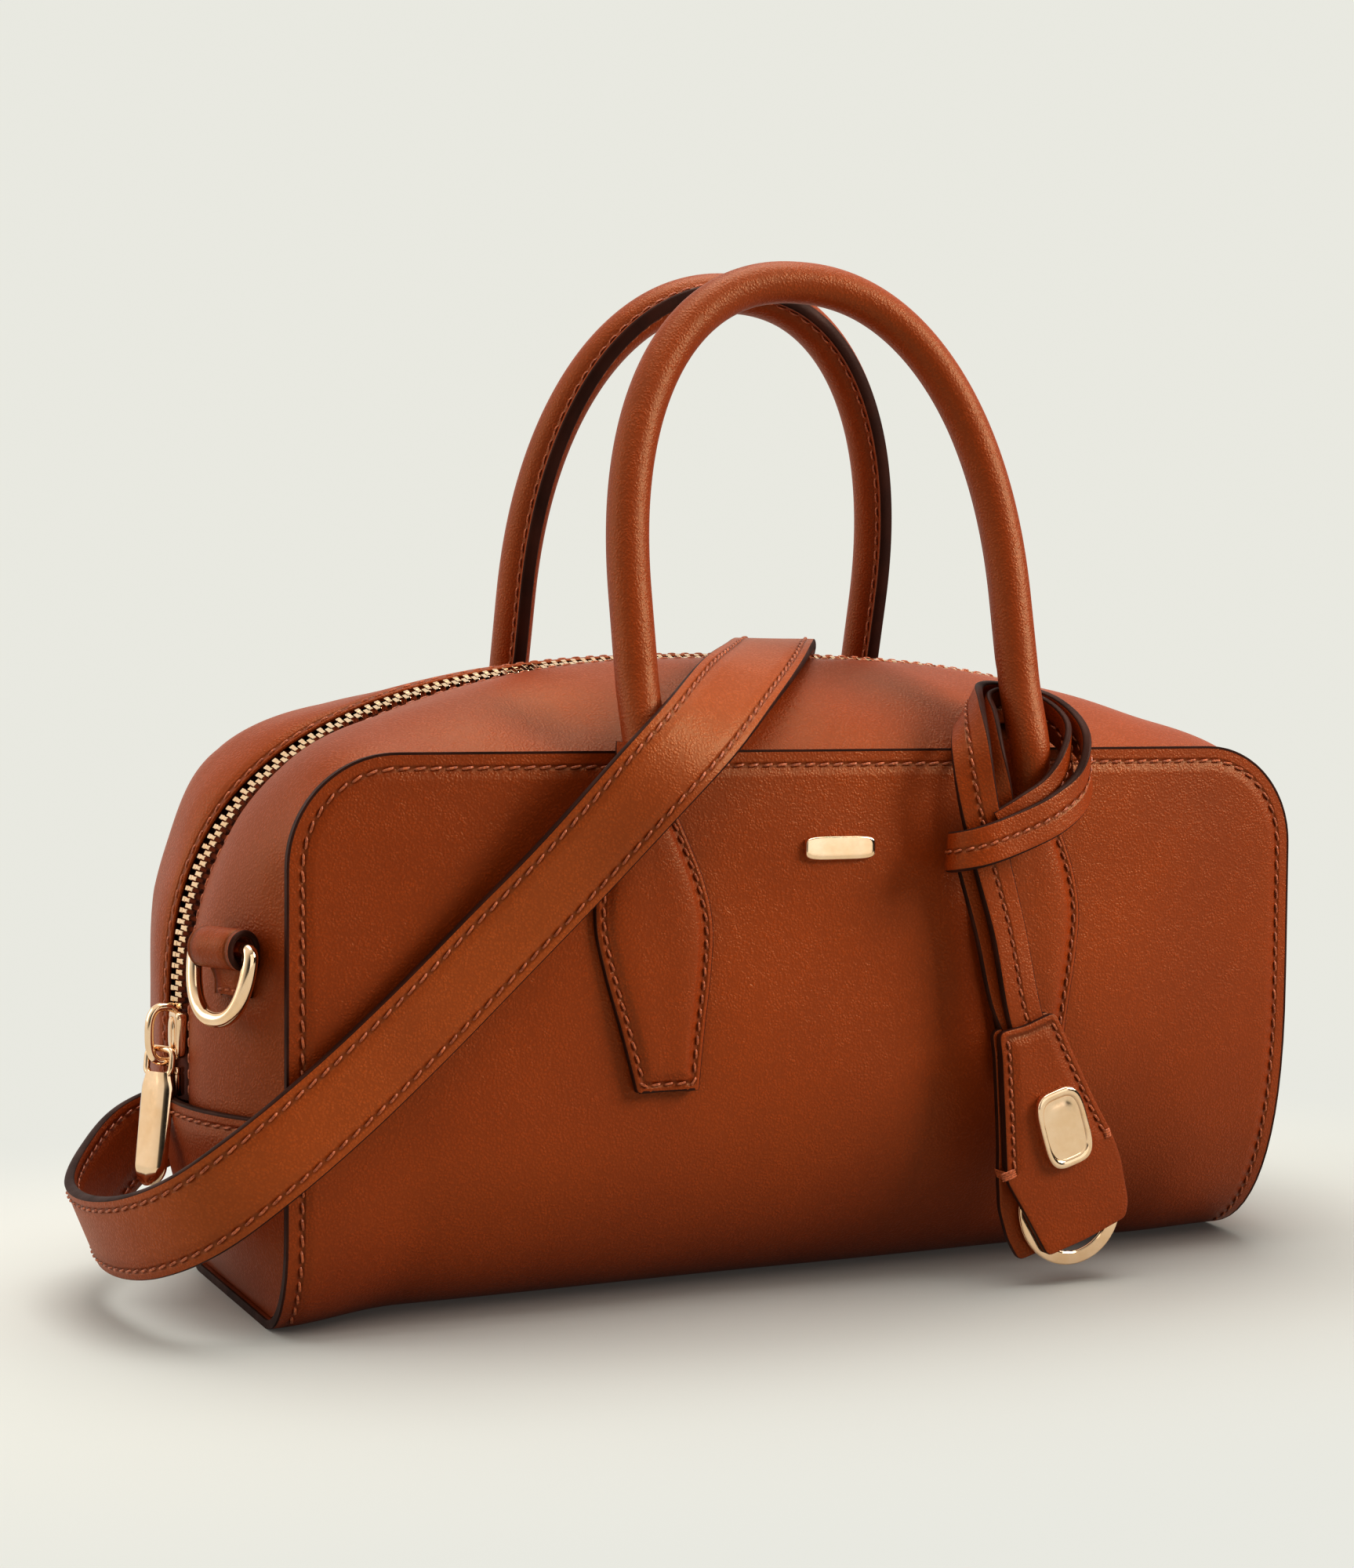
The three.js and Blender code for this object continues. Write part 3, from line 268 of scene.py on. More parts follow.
def tone(code):  # colour as seen on a screen, made linear
    c = np.array([int(code[i:i + 2], 16) for i in (0, 2, 4)]) / 255
    return (*np.where(c <= 0.04045, c / 12.92, ((c + 0.055) / 1.055) ** 2.4), 1.0)


def node(tree, kind, inputs=None, **settings):
    made = tree.nodes.new(kind)
    for key, value in settings.items():
        setattr(made, key, value)
    for key, value in (inputs or {}).items():
        if isinstance(value, bpy.types.NodeSocket):
            tree.links.new(value, made.inputs[key])
        else:
            made.inputs[key].default_value = value
    return made


def math(tree, operation, a, b=0.0):
    return node(tree, "ShaderNodeMath", {0: a, 1: b}, operation=operation).outputs[0]


def spread(tree, value, low, high, toLow, toHigh, kind="LINEAR"):
    inputs = {"Value": value, "From Min": low, "From Max": high, "To Min": toLow, "To Max": toHigh}
    return node(tree, "ShaderNodeMapRange", inputs, interpolation_type=kind).outputs["Result"]


def blendTone(tree, factor, a, b):
    return node(tree, "ShaderNodeMix", {0: factor, 6: a, 7: b}, data_type="RGBA").outputs[2]


def newGroup(name, inputs, outputs):
    group = bpy.data.node_groups.new(name, "ShaderNodeTree")
    for key, kind, value in inputs:
        socket = group.interface.new_socket(key, in_out="INPUT", socket_type=kind)
        if value is not None:
            socket.default_value = value
    for key in outputs:
        group.interface.new_socket(key, in_out="OUTPUT", socket_type="NodeSocketFloat")
    return group, group.nodes.new("NodeGroupInput").outputs, group.nodes.new("NodeGroupOutput").inputs


number, vector = "NodeSocketFloat", "NodeSocketVector"


def noise(tree, place, scale, detail, out="Fac"):
    inputs = {"Vector": place, "Scale": scale, "Detail": detail}
    return node(tree, "ShaderNodeTexNoise", inputs).outputs[out]


def vectorMath(tree, operation, a, b=(0.0, 0.0, 0.0)):
    return node(tree, "ShaderNodeVectorMath", {0: a, 1: b}, operation=operation).outputs


def grouped(tree, group, **inputs):
    return node(tree, "ShaderNodeGroup", inputs, node_tree=group).outputs


def bumped(tree, height):  # height in millimetres
    return node(tree, "ShaderNodeBump", {"Height": height, "Distance": mm}).outputs["Normal"]


pebble = {"wobble": 420.0, "shift": 0.0011, "fine": 2600.0, "fineShare": 0.35, "loose": 300.0}


def makePebbleGrain():  # fine pebbles: rounded cells with pores between them, broken up by noise
    inputs = [("Place", vector, None), ("Cells", number, 1000.0)]
    group, given, out = newGroup("pebbleGrain", inputs, ["Height", "Pore"])
    wobble = noise(group, given["Place"], pebble["wobble"], 2.0, "Color")
    shift = node(group, "ShaderNodeVectorMath", {0: wobble, "Scale": pebble["shift"]}, operation="SCALE")
    place = vectorMath(group, "ADD", given["Place"], shift.outputs[0])[0]
    cells = node(group, "ShaderNodeTexVoronoi", {"Vector": place, "Scale": given["Cells"]}, feature="F1")
    dome = spread(group, cells.outputs["Distance"], 0.1, 0.75, 1.0, 0.0, "SMOOTHSTEP")
    loose = spread(group, noise(group, given["Place"], pebble["loose"], 3.0), 0.3, 0.7, 0.35, 1.0)
    raised = math(group, "MULTIPLY", dome, loose)
    fine = math(group, "MULTIPLY", noise(group, given["Place"], pebble["fine"], 2.0), pebble["fineShare"])
    group.links.new(math(group, "ADD", raised, fine), out["Height"])
    group.links.new(math(group, "SUBTRACT", 1.0, raised), out["Pore"])
    return group


def makeSeamPress():  # leather pulled down along a stitch line, and lying lower from the line to the cut edge
    inputs = [("Seam", number, none), ("Width", number, 1.1)]
    group, given, out = newGroup("seamPress", inputs, ["Press", "Fall"])
    away = math(group, "ABSOLUTE", given["Seam"])
    pressAndShade = node(group, "ShaderNodeMapRange", {"Value": away, "From Min": given["Width"], "From Max": 0.0},
                 interpolation_type="SMOOTHSTEP")
    group.links.new(pressAndShade.outputs["Result"], out["Press"])
    group.links.new(spread(group, given["Seam"], 3.4, 0.0, 0.0, 1.0, "SMOOTHSTEP"), out["Fall"])
    return group


def makeToneDrift():  # cloudy change of tone, from 0 to 1
    inputs = [("Place", vector, None), ("Scale", number, 14.0)]
    group, given, out = newGroup("toneDrift", inputs, ["Drift"])
    cloud = noise(group, given["Place"], given["Scale"], 4.0)
    group.links.new(spread(group, cloud, 0.32, 0.68, 0.0, 1.0), out["Drift"])
    return group


pebbleGrain, seamPress, toneDrift = makePebbleGrain(), makeSeamPress(), makeToneDrift()


def newFinish(name):
    finish = bpy.data.materials.new(name)
    finish.use_nodes = True
    tree = finish.node_tree
    place = node(tree, "ShaderNodeTexCoord").outputs["Object"]
    return finish, tree, tree.nodes["Principled BSDF"], place


def setShader(tree, shader, **values):
    for key, value in values.items():
        name = key.replace("_", " ")
        if isinstance(value, bpy.types.NodeSocket):
            tree.links.new(value, shader.inputs[name])
        else:
            shader.inputs[name].default_value = value


# the darkest tone is painted shade for the pores and the stitch grooves; the two shares set how much of it
# each gets
leather = {"light": "a4420b", "deep": "8f3507", "pressAndShade": "541b04", "cells": 1350.0, "poreShadeShare": 0.34,
           "seamShadeShare": 0.55, "poreRough": 0.1, "grain": 0.095, "groove": 0.4, "fall": 0.5}


def leatherFinish(name, kind):
    finish, tree, shader, place = newFinish(name)
    grain = grouped(tree, pebbleGrain, Place=place, Cells=kind["cells"])
    drift = grouped(tree, toneDrift, Place=place)["Drift"]
    seam = node(tree, "ShaderNodeAttribute", attribute_name="seam").outputs["Fac"]
    pressAndShade = grouped(tree, seamPress, Seam=seam)
    hide = blendTone(tree, drift, tone(kind["light"]), tone(kind["deep"]))
    # painted shade: the hide is darkened towards a dark brown in the pores between the pebbles and along the
    # stitch groove, where shade would fall
    poreShade = math(tree, "MULTIPLY", grain["Pore"], kind["poreShadeShare"])
    sewn = math(tree, "MULTIPLY", pressAndShade["Press"], kind["seamShadeShare"])
    hide = blendTone(tree, sewn, blendTone(tree, poreShade, hide, tone(kind["pressAndShade"])), tone(kind["pressAndShade"]))
    dull = math(tree, "MULTIPLY", grain["Pore"], kind["poreRough"])
    rough = math(tree, "ADD", spread(tree, drift, 0, 1, 0.34, 0.4), dull)
    relief = math(tree, "MULTIPLY", grain["Height"], kind["grain"])
    groove = math(tree, "MULTIPLY", pressAndShade["Press"], kind["groove"])
    fall = math(tree, "MULTIPLY", pressAndShade["Fall"], kind["fall"])
    height = math(tree, "SUBTRACT", relief, math(tree, "ADD", groove, fall))
    setShader(tree, shader, Base_Color=hide, Roughness=rough, Normal=bumped(tree, height),
              Specular_IOR_Level=0.5, Specular_Tint=(1.0, 0.76, 0.38, 1.0))
    return finish


def paintFinish(name, light, deep, gloss):  # edge paint: thick, dark, faintly uneven
    finish, tree, shader, place = newFinish(name)
    drift = grouped(tree, toneDrift, Place=place, Scale=90.0)["Drift"]
    fine = noise(tree, place, 1300.0, 2.0)
    setShader(tree, shader, Base_Color=blendTone(tree, drift, tone(light), tone(deep)),
              Roughness=spread(tree, drift, 0, 1, gloss, gloss + 0.14),
              Normal=bumped(tree, math(tree, "MULTIPLY", fine, 0.06)),
              Specular_Tint=(1.0, 0.72, 0.55, 1.0), Specular_IOR_Level=0.2)
    return finish


def threadFinish(name, light, deep):  # sewing thread: dull, with darker twists
    finish, tree, shader, place = newFinish(name)
    twist = noise(tree, place, 1500.0, 1.0)
    dyed = blendTone(tree, spread(tree, twist, 0.35, 0.65, 0, 1), tone(light), tone(deep))
    setShader(tree, shader, Base_Color=dyed, Roughness=spread(tree, twist, 0.3, 0.7, 0.34, 0.5),
              Normal=bumped(tree, math(tree, "MULTIPLY", twist, 0.12)))
    return finish


def goldFinish(name, light, deep):  # polished plating with faint rubbing
    finish, tree, shader, place = newFinish(name)
    drift = grouped(tree, toneDrift, Place=place, Scale=160.0)["Drift"]
    rub = noise(tree, place, 900.0, 3.0)
    setShader(tree, shader, Base_Color=blendTone(tree, drift, tone(light), tone(deep)), Metallic=1.0,
              Roughness=spread(tree, rub, 0.3, 0.7, 0.07, 0.14),
              Normal=bumped(tree, math(tree, "MULTIPLY", rub, 0.002)))
    return finish


def tapeFinish(name, light, deep):  # woven tape: ribs across it and fine warp along it
    finish, tree, shader, place = newFinish(name)
    along = node(tree, "ShaderNodeAttribute", attribute_name="along").outputs["Fac"]
    across = node(tree, "ShaderNodeAttribute", attribute_name="across").outputs["Fac"]
    ribs = math(tree, "SINE", math(tree, "MULTIPLY", along, 9.0))
    warp = math(tree, "SINE", math(tree, "MULTIPLY", across, 11.0))
    weave = math(tree, "MULTIPLY", ribs, warp)
    drift = grouped(tree, toneDrift, Place=place, Scale=120.0)["Drift"]
    dyed = blendTone(tree, math(tree, "MULTIPLY", drift, 0.5), tone(light), tone(deep))
    # painted shade in the low parts of the weave
    shade = spread(tree, weave, -1, 1, 0.45, 0.0)
    setShader(tree, shader, Base_Color=blendTone(tree, shade, dyed, tone(deep)),
              Roughness=spread(tree, weave, -1, 1, 0.85, 0.7),
              Normal=bumped(tree, math(tree, "MULTIPLY", weave, 0.05)))
    return finish


tanLeather = leatherFinish("tanLeather", leather)
# a lighter copy of the leather for the strap: painted sheen
strapSheenLeather = leatherFinish("strapSheenLeather", {**leather, "light": "b2531c", "deep": "9e4414"})
edgePaint = paintFinish("edgePaint", "3c1a10", "260d07", 0.46)
thread = threadFinish("thread", "c26a3c", "8c4420")
gold = goldFinish("paleGold", "f8dab8", "efcba2")
tape = tapeFinish("zipTape", "7c3a20", "5a2412")
skins = [tanLeather, edgePaint]
strapSkins = [strapSheenLeather, edgePaint]
print("finishes made")


# sewing and edges

sewing = {"pitch": 4.2, "length": 3.2, "radius": 0.36, "slant": 0.16, "lift": 0.08}


def stitchShape(length, radius):  # thread that rises out of one hole and dips into the next
    t = np.linspace(-1, 1, 7)
    a = fullTurn(6)
    thick = radius * (1 - 0.45 * t**6)
    rings = np.empty((7, 6, 3))
    rings[..., 0] = (t * length / 2)[:, None]
    rings[..., 1] = thick[:, None] * np.cos(a)
    rings[..., 2] = (radius * 0.55 * (1 - 2.2 * t**4))[:, None] + thick[:, None] * np.sin(a) * 0.85
    return loft(rings)


def stitches(path, normal, **change):  # a row of stitches along a line on a surface
    how = {**sewing, **change}
    places, rise = walk(path, how["pitch"], np.broadcast_to(normal, path.shape))
    forward = headings(places)
    rise = unit(rise - forward * np.sum(rise * forward, 1, keepdims=True))
    side = np.cross(rise, forward)
    slanted = unit(forward + side * how["slant"])
    shape = stitchShape(how["length"], how["radius"])
    return repeat(shape, places + rise * how["lift"], slanted, np.cross(rise, slanted), rise)


def barTack(centre, along, normal, length, count=5, width=0.42):  # a few long threads side by side
    along, normal = unit(np.asarray(along, float)), unit(np.asarray(normal, float))
    side = np.cross(normal, along)
    spots = np.asarray(centre) + (np.arange(count)[:, None] - (count - 1) / 2) * width * 1.7 * side
    n = np.ones((count, 1))
    return repeat(stitchShape(length, width), spots + normal * 0.1, along * n, side * n, normal * n)


def edgeBead(ring, normal, thick, closed=True, proud=0.35, gap=1.6):  # painted bead over a cut edge
    normal = np.broadcast_to(normal, ring.shape)
    ring, normal = walk(ring, gap, normal, closed=closed, offset=0.0 if closed else 0.5)
    forward = headings(ring, closed)
    out = unit(np.cross(forward, normal))
    a = np.linspace(0, np.pi, 9)
    outer = np.stack([proud * np.sin(a) ** 0.7, -thick / 2 + (thick / 2 + 0.06) * np.cos(a)], 1)
    inner = np.array([[-0.5, -thick - 0.03], [-0.5, 0.03]])
    return loft(carry(np.vstack([outer, inner]), ring, out, unit(normal)), 0, 0, closed)


# body: one wrap of leather for the front, base and back

body = {"half": 150.0, "height": 147.0, "depth": 104.0, "corner": 28.0, "leather": 2.2, "puff": 2.0,
        "backShare": 0.8, "seamGap": 0.8, "seamInset": 1.2, "gap": 0.3, "stitchInset": 3.6, "drift": 0.5}
roll = {"x": np.array([-150.0, -112, 0, 112, 150]), "reach": np.array([20.0, 34, 37, 39, 45]),
        "rise": np.array([26.0, 46, 56, 68, 82])}


def rollAt(side, x):  # inward reach and start height of the bottom roll
    share = np.where(np.asarray(side) > 0, body["backShare"], 1.0)
    return readTable(x, roll["x"], roll["reach"]) * share, readTable(x, roll["x"], roll["rise"])


def rollPower(x):  # the roll is a quarter ellipse, a little fuller towards the right end
    return 2 + 0.5 * ease(x, 90, 60)


def puffAt(x, z):  # soft swell of the faces: a parabola along, a half sine up
    high = np.clip(z / body["height"], 0, 1)
    return body["puff"] * np.maximum(0, 1 - (x / body["half"]) ** 2) * np.sin(np.pi * high)


def panelTop(x):  # straight top edge with quarter-circle corners
    over = np.maximum(0, np.abs(x) - (body["half"] - body["corner"]))
    return body["height"] - body["corner"] + np.sqrt(np.maximum(0, body["corner"] ** 2 - over**2))


def wallDepth(side, x, z):  # distance of the wall from the middle plane: flat above, quarter ellipse below
    reach, rise = rollAt(side, x)
    below = np.clip((rise - z) / rise, 0, 1)
    power = rollPower(x)
    return body["depth"] / 2 - reach * (1 - (1 - below**power) ** (1 / power)) + puffAt(x, z)


def wrapGrid(x, top):  # girth lines at stations x: front wall, roll, base, roll, back wall
    def half(side):
        reach, rise = rollAt(side, x)
        z = mix(top, rise, np.linspace(0, 1, 40)[:, None])
        upright = np.stack([np.broadcast_to(x, z.shape), side * wallDepth(side, x, z), z], -1)
        a = np.linspace(0, np.pi / 2, 18)[1:, None]
        p = 2 / rollPower(x)
        z = rise * (1 - np.sin(a) ** p)
        y = body["depth"] / 2 - reach * (1 - np.maximum(np.cos(a), 0) ** p) + puffAt(x, z)
        return np.concatenate([upright, np.stack([np.broadcast_to(x, z.shape), side * y, z], -1)])
    front, back = half(-1), half(1)
    flat = mix(front[-1], back[-1], np.linspace(0, 1, 16)[1:-1, None, None])
    return np.concatenate([front, flat, back[::-1]])


def rimDistance(x, z):  # distance to the panel's edge, a rectangle with round upper corners
    qx = np.abs(x) - (body["half"] - body["corner"])
    qz = z - (body["height"] - body["corner"])
    return body["corner"] - np.hypot(np.maximum(qx, 0), np.maximum(qz, 0)) - np.minimum(np.maximum(qx, qz), 0)


def panelStations():
    straight = body["half"] - body["corner"]
    corner = straight + body["corner"] * np.sin(np.linspace(0, np.pi / 2, 16))
    right = np.concatenate([np.linspace(0, straight, 44)[:-1], corner])
    return np.concatenate([-right[:0:-1], right])


def outlinePath(side, inset):  # line at an inset from the panel's top edge, from low left to low right
    straight = body["half"] - body["corner"]
    r = body["corner"] - inset
    a = np.linspace(0, np.pi / 2, 24)
    level = np.linspace(-straight, straight, 80)[1:-1]
    x = np.concatenate([-straight - r * np.cos(a), level, straight + r * np.sin(a)])
    z = body["height"] - body["corner"] + np.concatenate([r * np.sin(a), np.full(78, r), r * np.cos(a)])
    return np.stack([x, side * wallDepth(side, x, z), z], 1)


def buildPanel():
    x = panelStations()
    grid = wrapGrid(x, panelTop(x))
    rim = rimDistance(grid[..., 0], grid[..., 2])
    calm = ease(rim, 3, 30) * ease(grid[..., 2], 4, 30)
    outward = gridNormals(grid)
    grid = grid + outward * (softDrift(grid, body["drift"]) * calm)[..., None]
    part = wall(grid, body["leather"], 1, rim - body["stitchInset"])
    putPiece("mainPanel", [part], skins, stands=["main_panel"])
    ring = borderRing(*grid.shape[:2])
    edge = edgeBead(grid.reshape(-1, 3)[ring], outward.reshape(-1, 3)[ring], body["leather"], proud=0.45)
    putPiece("panelEdge", [edge], [edgePaint])
    seams = []
    for side in (-1, 1):
        seams.append(stitches(outlinePath(side, body["stitchInset"]), np.array([0.0, side, 0.0])))
    for end in (-1, 1):
        at = np.array([end * (body["half"] - body["stitchInset"])])
        girth = wrapGrid(at, np.array([body["height"] - body["corner"]]))[:, 0]
        rise = unit(np.cross(headings(girth), [1.0, 0, 0]))
        for side in (-1, 1):  # up each wall, from just above the floor
            seen = (girth[:, 2] > 2.5) & (girth[:, 1] * side > 0)
            seams.append(stitches(girth[seen], rise[seen]))
    putPiece("panelStitches", seams, [thread])


buildPanel()
print("panel done")


# top bands: from the panel's edge up to the zip

band = {"leather": 1.8, "foot": 54.0, "zipHalf": 164.5, "zipSpring": 75.0, "zipRise": 96.0, "power": 2.7,
        "shoulder": 116.0, "hip": 119.0, "zipGap": 11.0, "edgeRound": 0.8, "stitchInset": 1.4,
        "stitchSink": 0.2, "drift": 0.55}
bandShape = {"front": {"side": -1, "power": 1.9, "corner": 4.0, "flank": 1.0},
             "back": {"side": 1, "power": 2.8, "corner": 9.0, "flank": 4.0}}
# the zip leans to the front at the ends, between a low front lip and a high back lip, and sinks in on top
zipTilt = {"sine": 0.27, "endLips": {-1: -0.8, 1: 2.2}, "topLips": {-1: 0.9, 1: 1.9}, "from": 45.0,
           "over": 70.0}
dent = {"x": 70.0, "v": 0.3, "depth": 3.0, "length": 18.0, "width": 0.28}


def seamDepth(side, x, z):  # half depth inside the wrap
    reach, rise = rollAt(side, x)
    inset = body["leather"] + body["seamGap"]
    below = np.clip((rise - z) / (rise - inset - body["gap"]), 0, 1)
    return body["depth"] / 2 - reach + (reach - inset) * np.sqrt(1 - below**2)


def seamLine(s):  # panel edge: top for |s| to 1, corner to 2, side to 3
    u, sign = np.abs(s), np.sign(s)
    half, top = body["half"] - body["seamInset"], body["height"] - body["seamInset"]
    r = body["corner"] - body["seamInset"]
    a = np.clip(u - 1, 0, 1) * np.pi / 2
    x = np.where(u <= 1, u * (half - r), half - r + r * np.sin(a))
    return sign * x, top - r * (1 - np.cos(a)) - np.clip(u - 2, 0, 1) * (top - r - band["foot"])


def zipLine(s):  # superellipse arch at the same places along the bag
    u, sign, p = np.abs(s), np.sign(s), band["power"]
    flatX = u * band["shoulder"]
    reached = np.clip(flatX / band["zipHalf"], 0, 1)
    flatZ = band["zipSpring"] + band["zipRise"] * (1 - reached**p) ** (1 / p)
    first = np.arccos((band["shoulder"] / band["zipHalf"]) ** (p / 2))
    last = np.arcsin(((band["hip"] - band["zipSpring"]) / band["zipRise"]) ** (p / 2))
    a = mix(first, last, np.clip(u - 1, 0, 1))
    roundX = band["zipHalf"] * np.cos(a) ** (2 / p)
    roundZ = band["zipSpring"] + band["zipRise"] * np.sin(a) ** (2 / p)
    lowZ = mix(band["hip"], band["foot"], np.clip(u - 2, 0, 1))
    above = np.maximum(0, (lowZ - band["zipSpring"]) / band["zipRise"])
    lowX = band["zipHalf"] * (1 - above**p) ** (1 / p)
    x = np.where(u <= 1, flatX, np.where(u <= 2, roundX, lowX))
    return sign * x, np.where(u <= 1, flatZ, np.where(u <= 2, roundZ, lowZ))


def zipNormal(s):
    ax, az = zipLine(np.maximum(-3, s - 0.04))
    bx, bz = zipLine(np.minimum(3, s + 0.04))
    return unit(np.stack([-(bz - az), np.zeros_like(s), bx - ax], -1))


def bandPoint(shape, s, v):  # power curve from seam (v 0) to zip (v 1), swollen at corner and flank
    seamX, seamZ = seamLine(s)
    zipX, zipZ = zipLine(s)
    u, side = np.abs(s), shape["side"]
    rise = 1 - (1 - v) ** shape["power"]
    atCorner = np.exp(-(((u - 1.45) / 0.55) ** 2))
    swell = (shape["corner"] * atCorner + shape["flank"] * np.clip((u - 1.5) / 0.7, 0, 1)) * 4 * v * (1 - v)
    x, z = mix(seamX, zipX, rise), mix(seamZ, zipZ, rise)
    far = ((side * x - dent["x"]) / dent["length"]) ** 2 + ((v - dent["v"]) / dent["width"]) ** 2
    y = mix(seamDepth(side, seamX, seamZ), band["zipGap"] / 2, v)
    onEnd = ease(np.abs(x), zipTilt["from"], zipTilt["over"])
    lip = mix(zipTilt["topLips"][side], zipTilt["endLips"][side], onEnd) * ease(v, 0.6, 0.4)
    high = swell + lip - dent["depth"] * np.exp(-far)
    return np.stack([x, side * y, z], -1) + zipNormal(s) * high[..., None]


def bandStitchLine(shape, inset):  # line at a distance from the zip edge
    s = np.linspace(-2.97, 2.97, 500)
    v = np.linspace(0.55, 1, 60)
    grid = bandPoint(shape, *np.meshgrid(s, v, indexing="ij"))
    left = np.linalg.norm(np.diff(grid, axis=1), axis=2)[:, ::-1].cumsum(1)[:, ::-1]
    k = np.argmax(left < inset, axis=1)
    rows = np.arange(len(s))
    return grid[rows, k], gridNormals(grid)[rows, k] * -shape["side"]


def buildBands():
    s = np.linspace(-3, 3, 261)
    v = np.concatenate([np.linspace(0, 0.9, 28), 1 - 0.1 * np.linspace(1, 0, 14)[1:] ** 1.8])
    for name, shape in bandShape.items():
        grid = bandPoint(shape, *np.meshgrid(s, v, indexing="ij"))
        outward = gridNormals(grid) * -shape["side"]
        step = np.linalg.norm(np.diff(grid, axis=1), axis=2)
        left = np.concatenate([step[:, ::-1].cumsum(1)[:, ::-1], np.zeros((len(s), 1))], 1)
        q = np.clip(1 - left / band["edgeRound"], 0, 1)
        dip = band["edgeRound"] * (1 - np.sqrt(1 - q**2)) * 0.8
        calm = ease(v, 0.02, 0.2) * (1 - ease(v, 0.75, 0.2))
        grid = grid + outward * (softDrift(grid * 1.7, band["drift"]) * calm - dip)[..., None]
        part = wall(grid, band["leather"], -shape["side"], left - band["stitchInset"])
        putPiece("topBand" + name.title(), [part], skins, stands=["top_band_" + name])
        line, normal = bandStitchLine(shape, band["stitchInset"])
        row = stitches(line - normal * band["stitchSink"], normal)
        putPiece("bandStitches" + name.title(), [row], [thread])


buildBands()
print("top bands done")


# end panels: low swollen panels whose top edge laps over the feet of the bands

endPanel = {"swell": 17.4, "power": 2.4, "footPower": 2.2, "low": 2.5, "lap": 1.9, "top": 55.4,
            "lapFrom": 40.0, "lapOver": 12.0, "lapSide": 0.86, "lapFade": 0.12, "stitchInset": 3.0,
            "drift": 0.4}


def endPoint(end, z, v):  # the swell dies away to the seams by a power of v, to the base by a power of height
    t = np.clip((z - endPanel["low"]) / (band["foot"] - endPanel["low"]), 0, 1)
    swell = endPanel["swell"] * (1 - (1 - t) ** endPanel["footPower"]) * (1 - np.abs(v) ** endPanel["power"])
    x = end * (body["half"] - body["seamInset"])
    depth = np.where(v < 0, seamDepth(-1, x, z), seamDepth(1, x, z))
    lap = endPanel["lap"] * ease(z, endPanel["lapFrom"], endPanel["lapOver"])
    lap = lap * (1 - ease(np.abs(v), endPanel["lapSide"], endPanel["lapFade"]))
    return np.stack([x + end * (swell + lap), v * depth, z + np.zeros_like(v)], -1)


def buildEnds():
    for name, end in (("left", -1), ("right", 1)):
        level = mix(endPanel["low"], endPanel["top"], np.linspace(0, 1, 44) ** 0.8)
        z, v = np.meshgrid(level, np.linspace(-1, 1, 70), indexing="ij")
        grid = endPoint(end, z, v)
        facing = np.sign(gridNormals(grid)[20, 35, 0] * end)
        outward = gridNormals(grid) * facing
        calm = (1 - v**4) * ease(z, 4, 20) * (1 - ease(z, 44, 8))
        grid = grid + outward * (softDrift(grid * 1.5, endPanel["drift"]) * calm)[..., None]
        part = wall(grid, band["leather"], facing, endPanel["top"] - z - endPanel["stitchInset"])
        putPiece("endPanel" + name.title(), [part], skins, stands=["end_panel_" + name])
        border = slice(2, -2) if end * facing < 0 else slice(-3, 1, -1)
        bead = edgeBead(grid[-1, border], outward[-1, border], band["leather"], closed=False)
        putPiece("endEdge" + name.title(), [bead], [edgePaint])
        level = np.full(80, endPanel["top"] - endPanel["stitchInset"])
        line = endPoint(end, level, np.linspace(-0.93, 0.93, 80))
        out = np.cross(headings(line), up)
        out = out * np.sign(out[40, 0] * end)
        putPiece("endStitches" + name.title(), [stitches(line, out)], [thread])


buildEnds()
print("end panels done")


# zip: tape, teeth, slider, end stop and pull

zipper = {"tapeHalf": 7.5, "tapeThick": 0.8, "under": 2.4, "toothPitch": 2.9, "toothLong": 1.4,
          "toothWide": 3.5, "toothHigh": 2.6, "toothShift": 1.1, "chainShift": 0.9, "proud": 0.4,
          "chamfer": 0.14, "leftEnd": 78.8}


def zipPath(s, depth):
    x, z = zipLine(s)
    return np.stack([x, np.zeros_like(s), z], -1) - zipNormal(s) * np.asarray(depth)[..., None]


def toothShape():  # chamfered bar: a block at the outer end (y below 0) and a slimmer nose at the middle
    a, h, w = zipper["toothLong"] / 2, zipper["toothHigh"] / 2, zipper["toothWide"] / 2
    c = zipper["chamfer"]
    section = np.array([[a, h - c], [a - c, h], [c - a, h], [-a, h - c]])
    section = np.vstack([section, -section])
    y = np.array([-w, -w + 0.12, -w + 1.35, -w + 1.5, w - 0.15, w])
    wide = np.array([0.86, 1, 1, 0.84, 0.84, 0.7])
    tall = np.array([0.9, 1, 1, 0.9, 0.9, 0.8])
    rings = np.empty((6, 8, 3))
    rings[..., 0] = section[:, 0] * wide[:, None]
    rings[..., 1] = y[:, None]
    rings[..., 2] = section[:, 1] * tall[:, None]
    return loft(rings)


